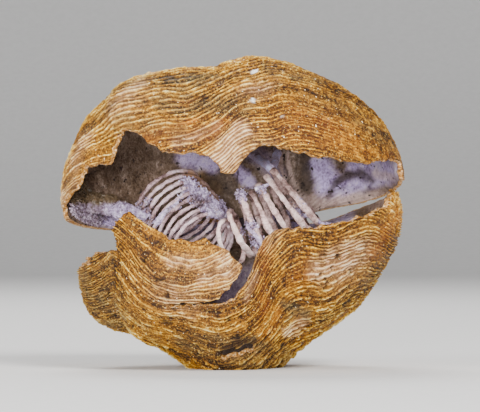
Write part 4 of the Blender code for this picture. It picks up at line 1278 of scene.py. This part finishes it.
def stone_material(name, look, tint=(1.0, 1.0, 1.0)):
    material = bpy.data.materials.new(name)
    material.use_nodes = True
    tree = material.node_tree
    grains = [(speckle(tree, cell), in_tone, in_bump) for cell, in_tone, in_bump in look["grains"]]
    terms = [(grain, share, 0.5) for grain, share, _ in grains]
    terms += [(value_of(tree, value), share, middle) for value, share, middle in look.get("values", ())]
    tone = sum_of(tree, look["start"], terms)
    colour = colours(tree, tone, look["colours"])
    for mask, *stops in look.get("layers", ()):
        cover = value_of(tree, mask) if isinstance(mask, str) else spots(tree, *mask)
        colour = blend(tree, cover, colour, colours(tree, tone, stops))
    colour = blend(tree, 1.0, colour, (*tint, 1.0), "MULTIPLY")
    height = sum_of(tree, 0.0, [(grain, share, 0.5) for grain, _, share in grains if share])
    bump = node(tree, "Bump", {"Height": height, "Strength": 1.0, "Distance": look["bump"] * MM})
    shader = tree.nodes["Principled BSDF"]
    tree.links.new(colour, shader.inputs["Base Color"])
    tree.links.new(bump.outputs["Normal"], shader.inputs["Normal"])
    shader.inputs["Roughness"].default_value = look["roughness"]
    if "specular" in look:
        shader.inputs["Specular IOR Level"].default_value = look["specular"]
    return material


# --- Stage ---


def make_floor():
    """A floor that curves up behind the fossil."""
    turn = np.linspace(0.0, math.pi / 2, 24)
    back, up = FLOOR_REACH + FLOOR_RADIUS * np.sin(turn), FLOOR_RADIUS * (1.0 - np.cos(turn))
    profile = [(FLOOR_FRONT, 0.0), *zip(back, up), (FLOOR_REACH + FLOOR_RADIUS, FLOOR_TOP)]
    points = [(x, y, z) for y, z in profile for x in (-FLOOR_HALF_WIDTH, FLOOR_HALF_WIDTH)]
    faces = [(2 * i, 2 * i + 1, 2 * i + 3, 2 * i + 2) for i in range(len(profile) - 1)]
    floor = mesh_object("backdrop", points, faces)
    floor.data.materials.append(stone_material("backdrop_paper", PAPER_LOOK))


def make_light(name, place, aim, size, power):
    """A soft square lamp. Lengths in mm, power in watts."""
    light = bpy.data.lights.new(name, "AREA")
    light.size = size * MM
    light.energy = power
    lamp = bpy.data.objects.new(name, light)
    lamp.location = np.array(place) * MM
    lamp.rotation_euler = Vector(np.array(aim, float) - place).to_track_quat("-Z", "Y").to_euler()
    bpy.context.scene.collection.objects.link(lamp)


def make_stage():
    make_floor()
    for light in LIGHTS:
        make_light(*light)
    world = bpy.data.worlds.new("studio")
    world.use_nodes = True
    sky = world.node_tree.nodes["Background"]
    sky.inputs["Color"].default_value = rgb(*WORLD_COLOUR)
    sky.inputs["Strength"].default_value = WORLD_STRENGTH
    bpy.context.scene.world = world
    camera = bpy.data.cameras.new("photo_camera")
    camera.sensor_width = SENSOR_WIDTH
    camera.lens = SENSOR_WIDTH * VIEW_DISTANCE / VIEW_WIDTH
    camera.clip_start, camera.clip_end = 0.01, 10.0
    eye = bpy.data.objects.new("photo_camera", camera)
    eye.location = np.array((VIEW_AXIS[0], -VIEW_DISTANCE, VIEW_AXIS[1])) * MM
    eye.rotation_euler = (math.pi / 2, 0.0, 0.0)
    bpy.context.scene.collection.objects.link(eye)
    bpy.context.scene.camera = eye


make_valve("upper_shell", UPPER, "upper_valve")
make_valve("lower_shell", LOWER, "lower_valve")
make_coil("left_spiral", LEFT_COIL, "left_spiralium", LEFT_DRESS)
make_coil("right_spiral", RIGHT_COIL, "right_spiralium", RIGHT_DRESS)
make_support()
make_crust()
make_stage()
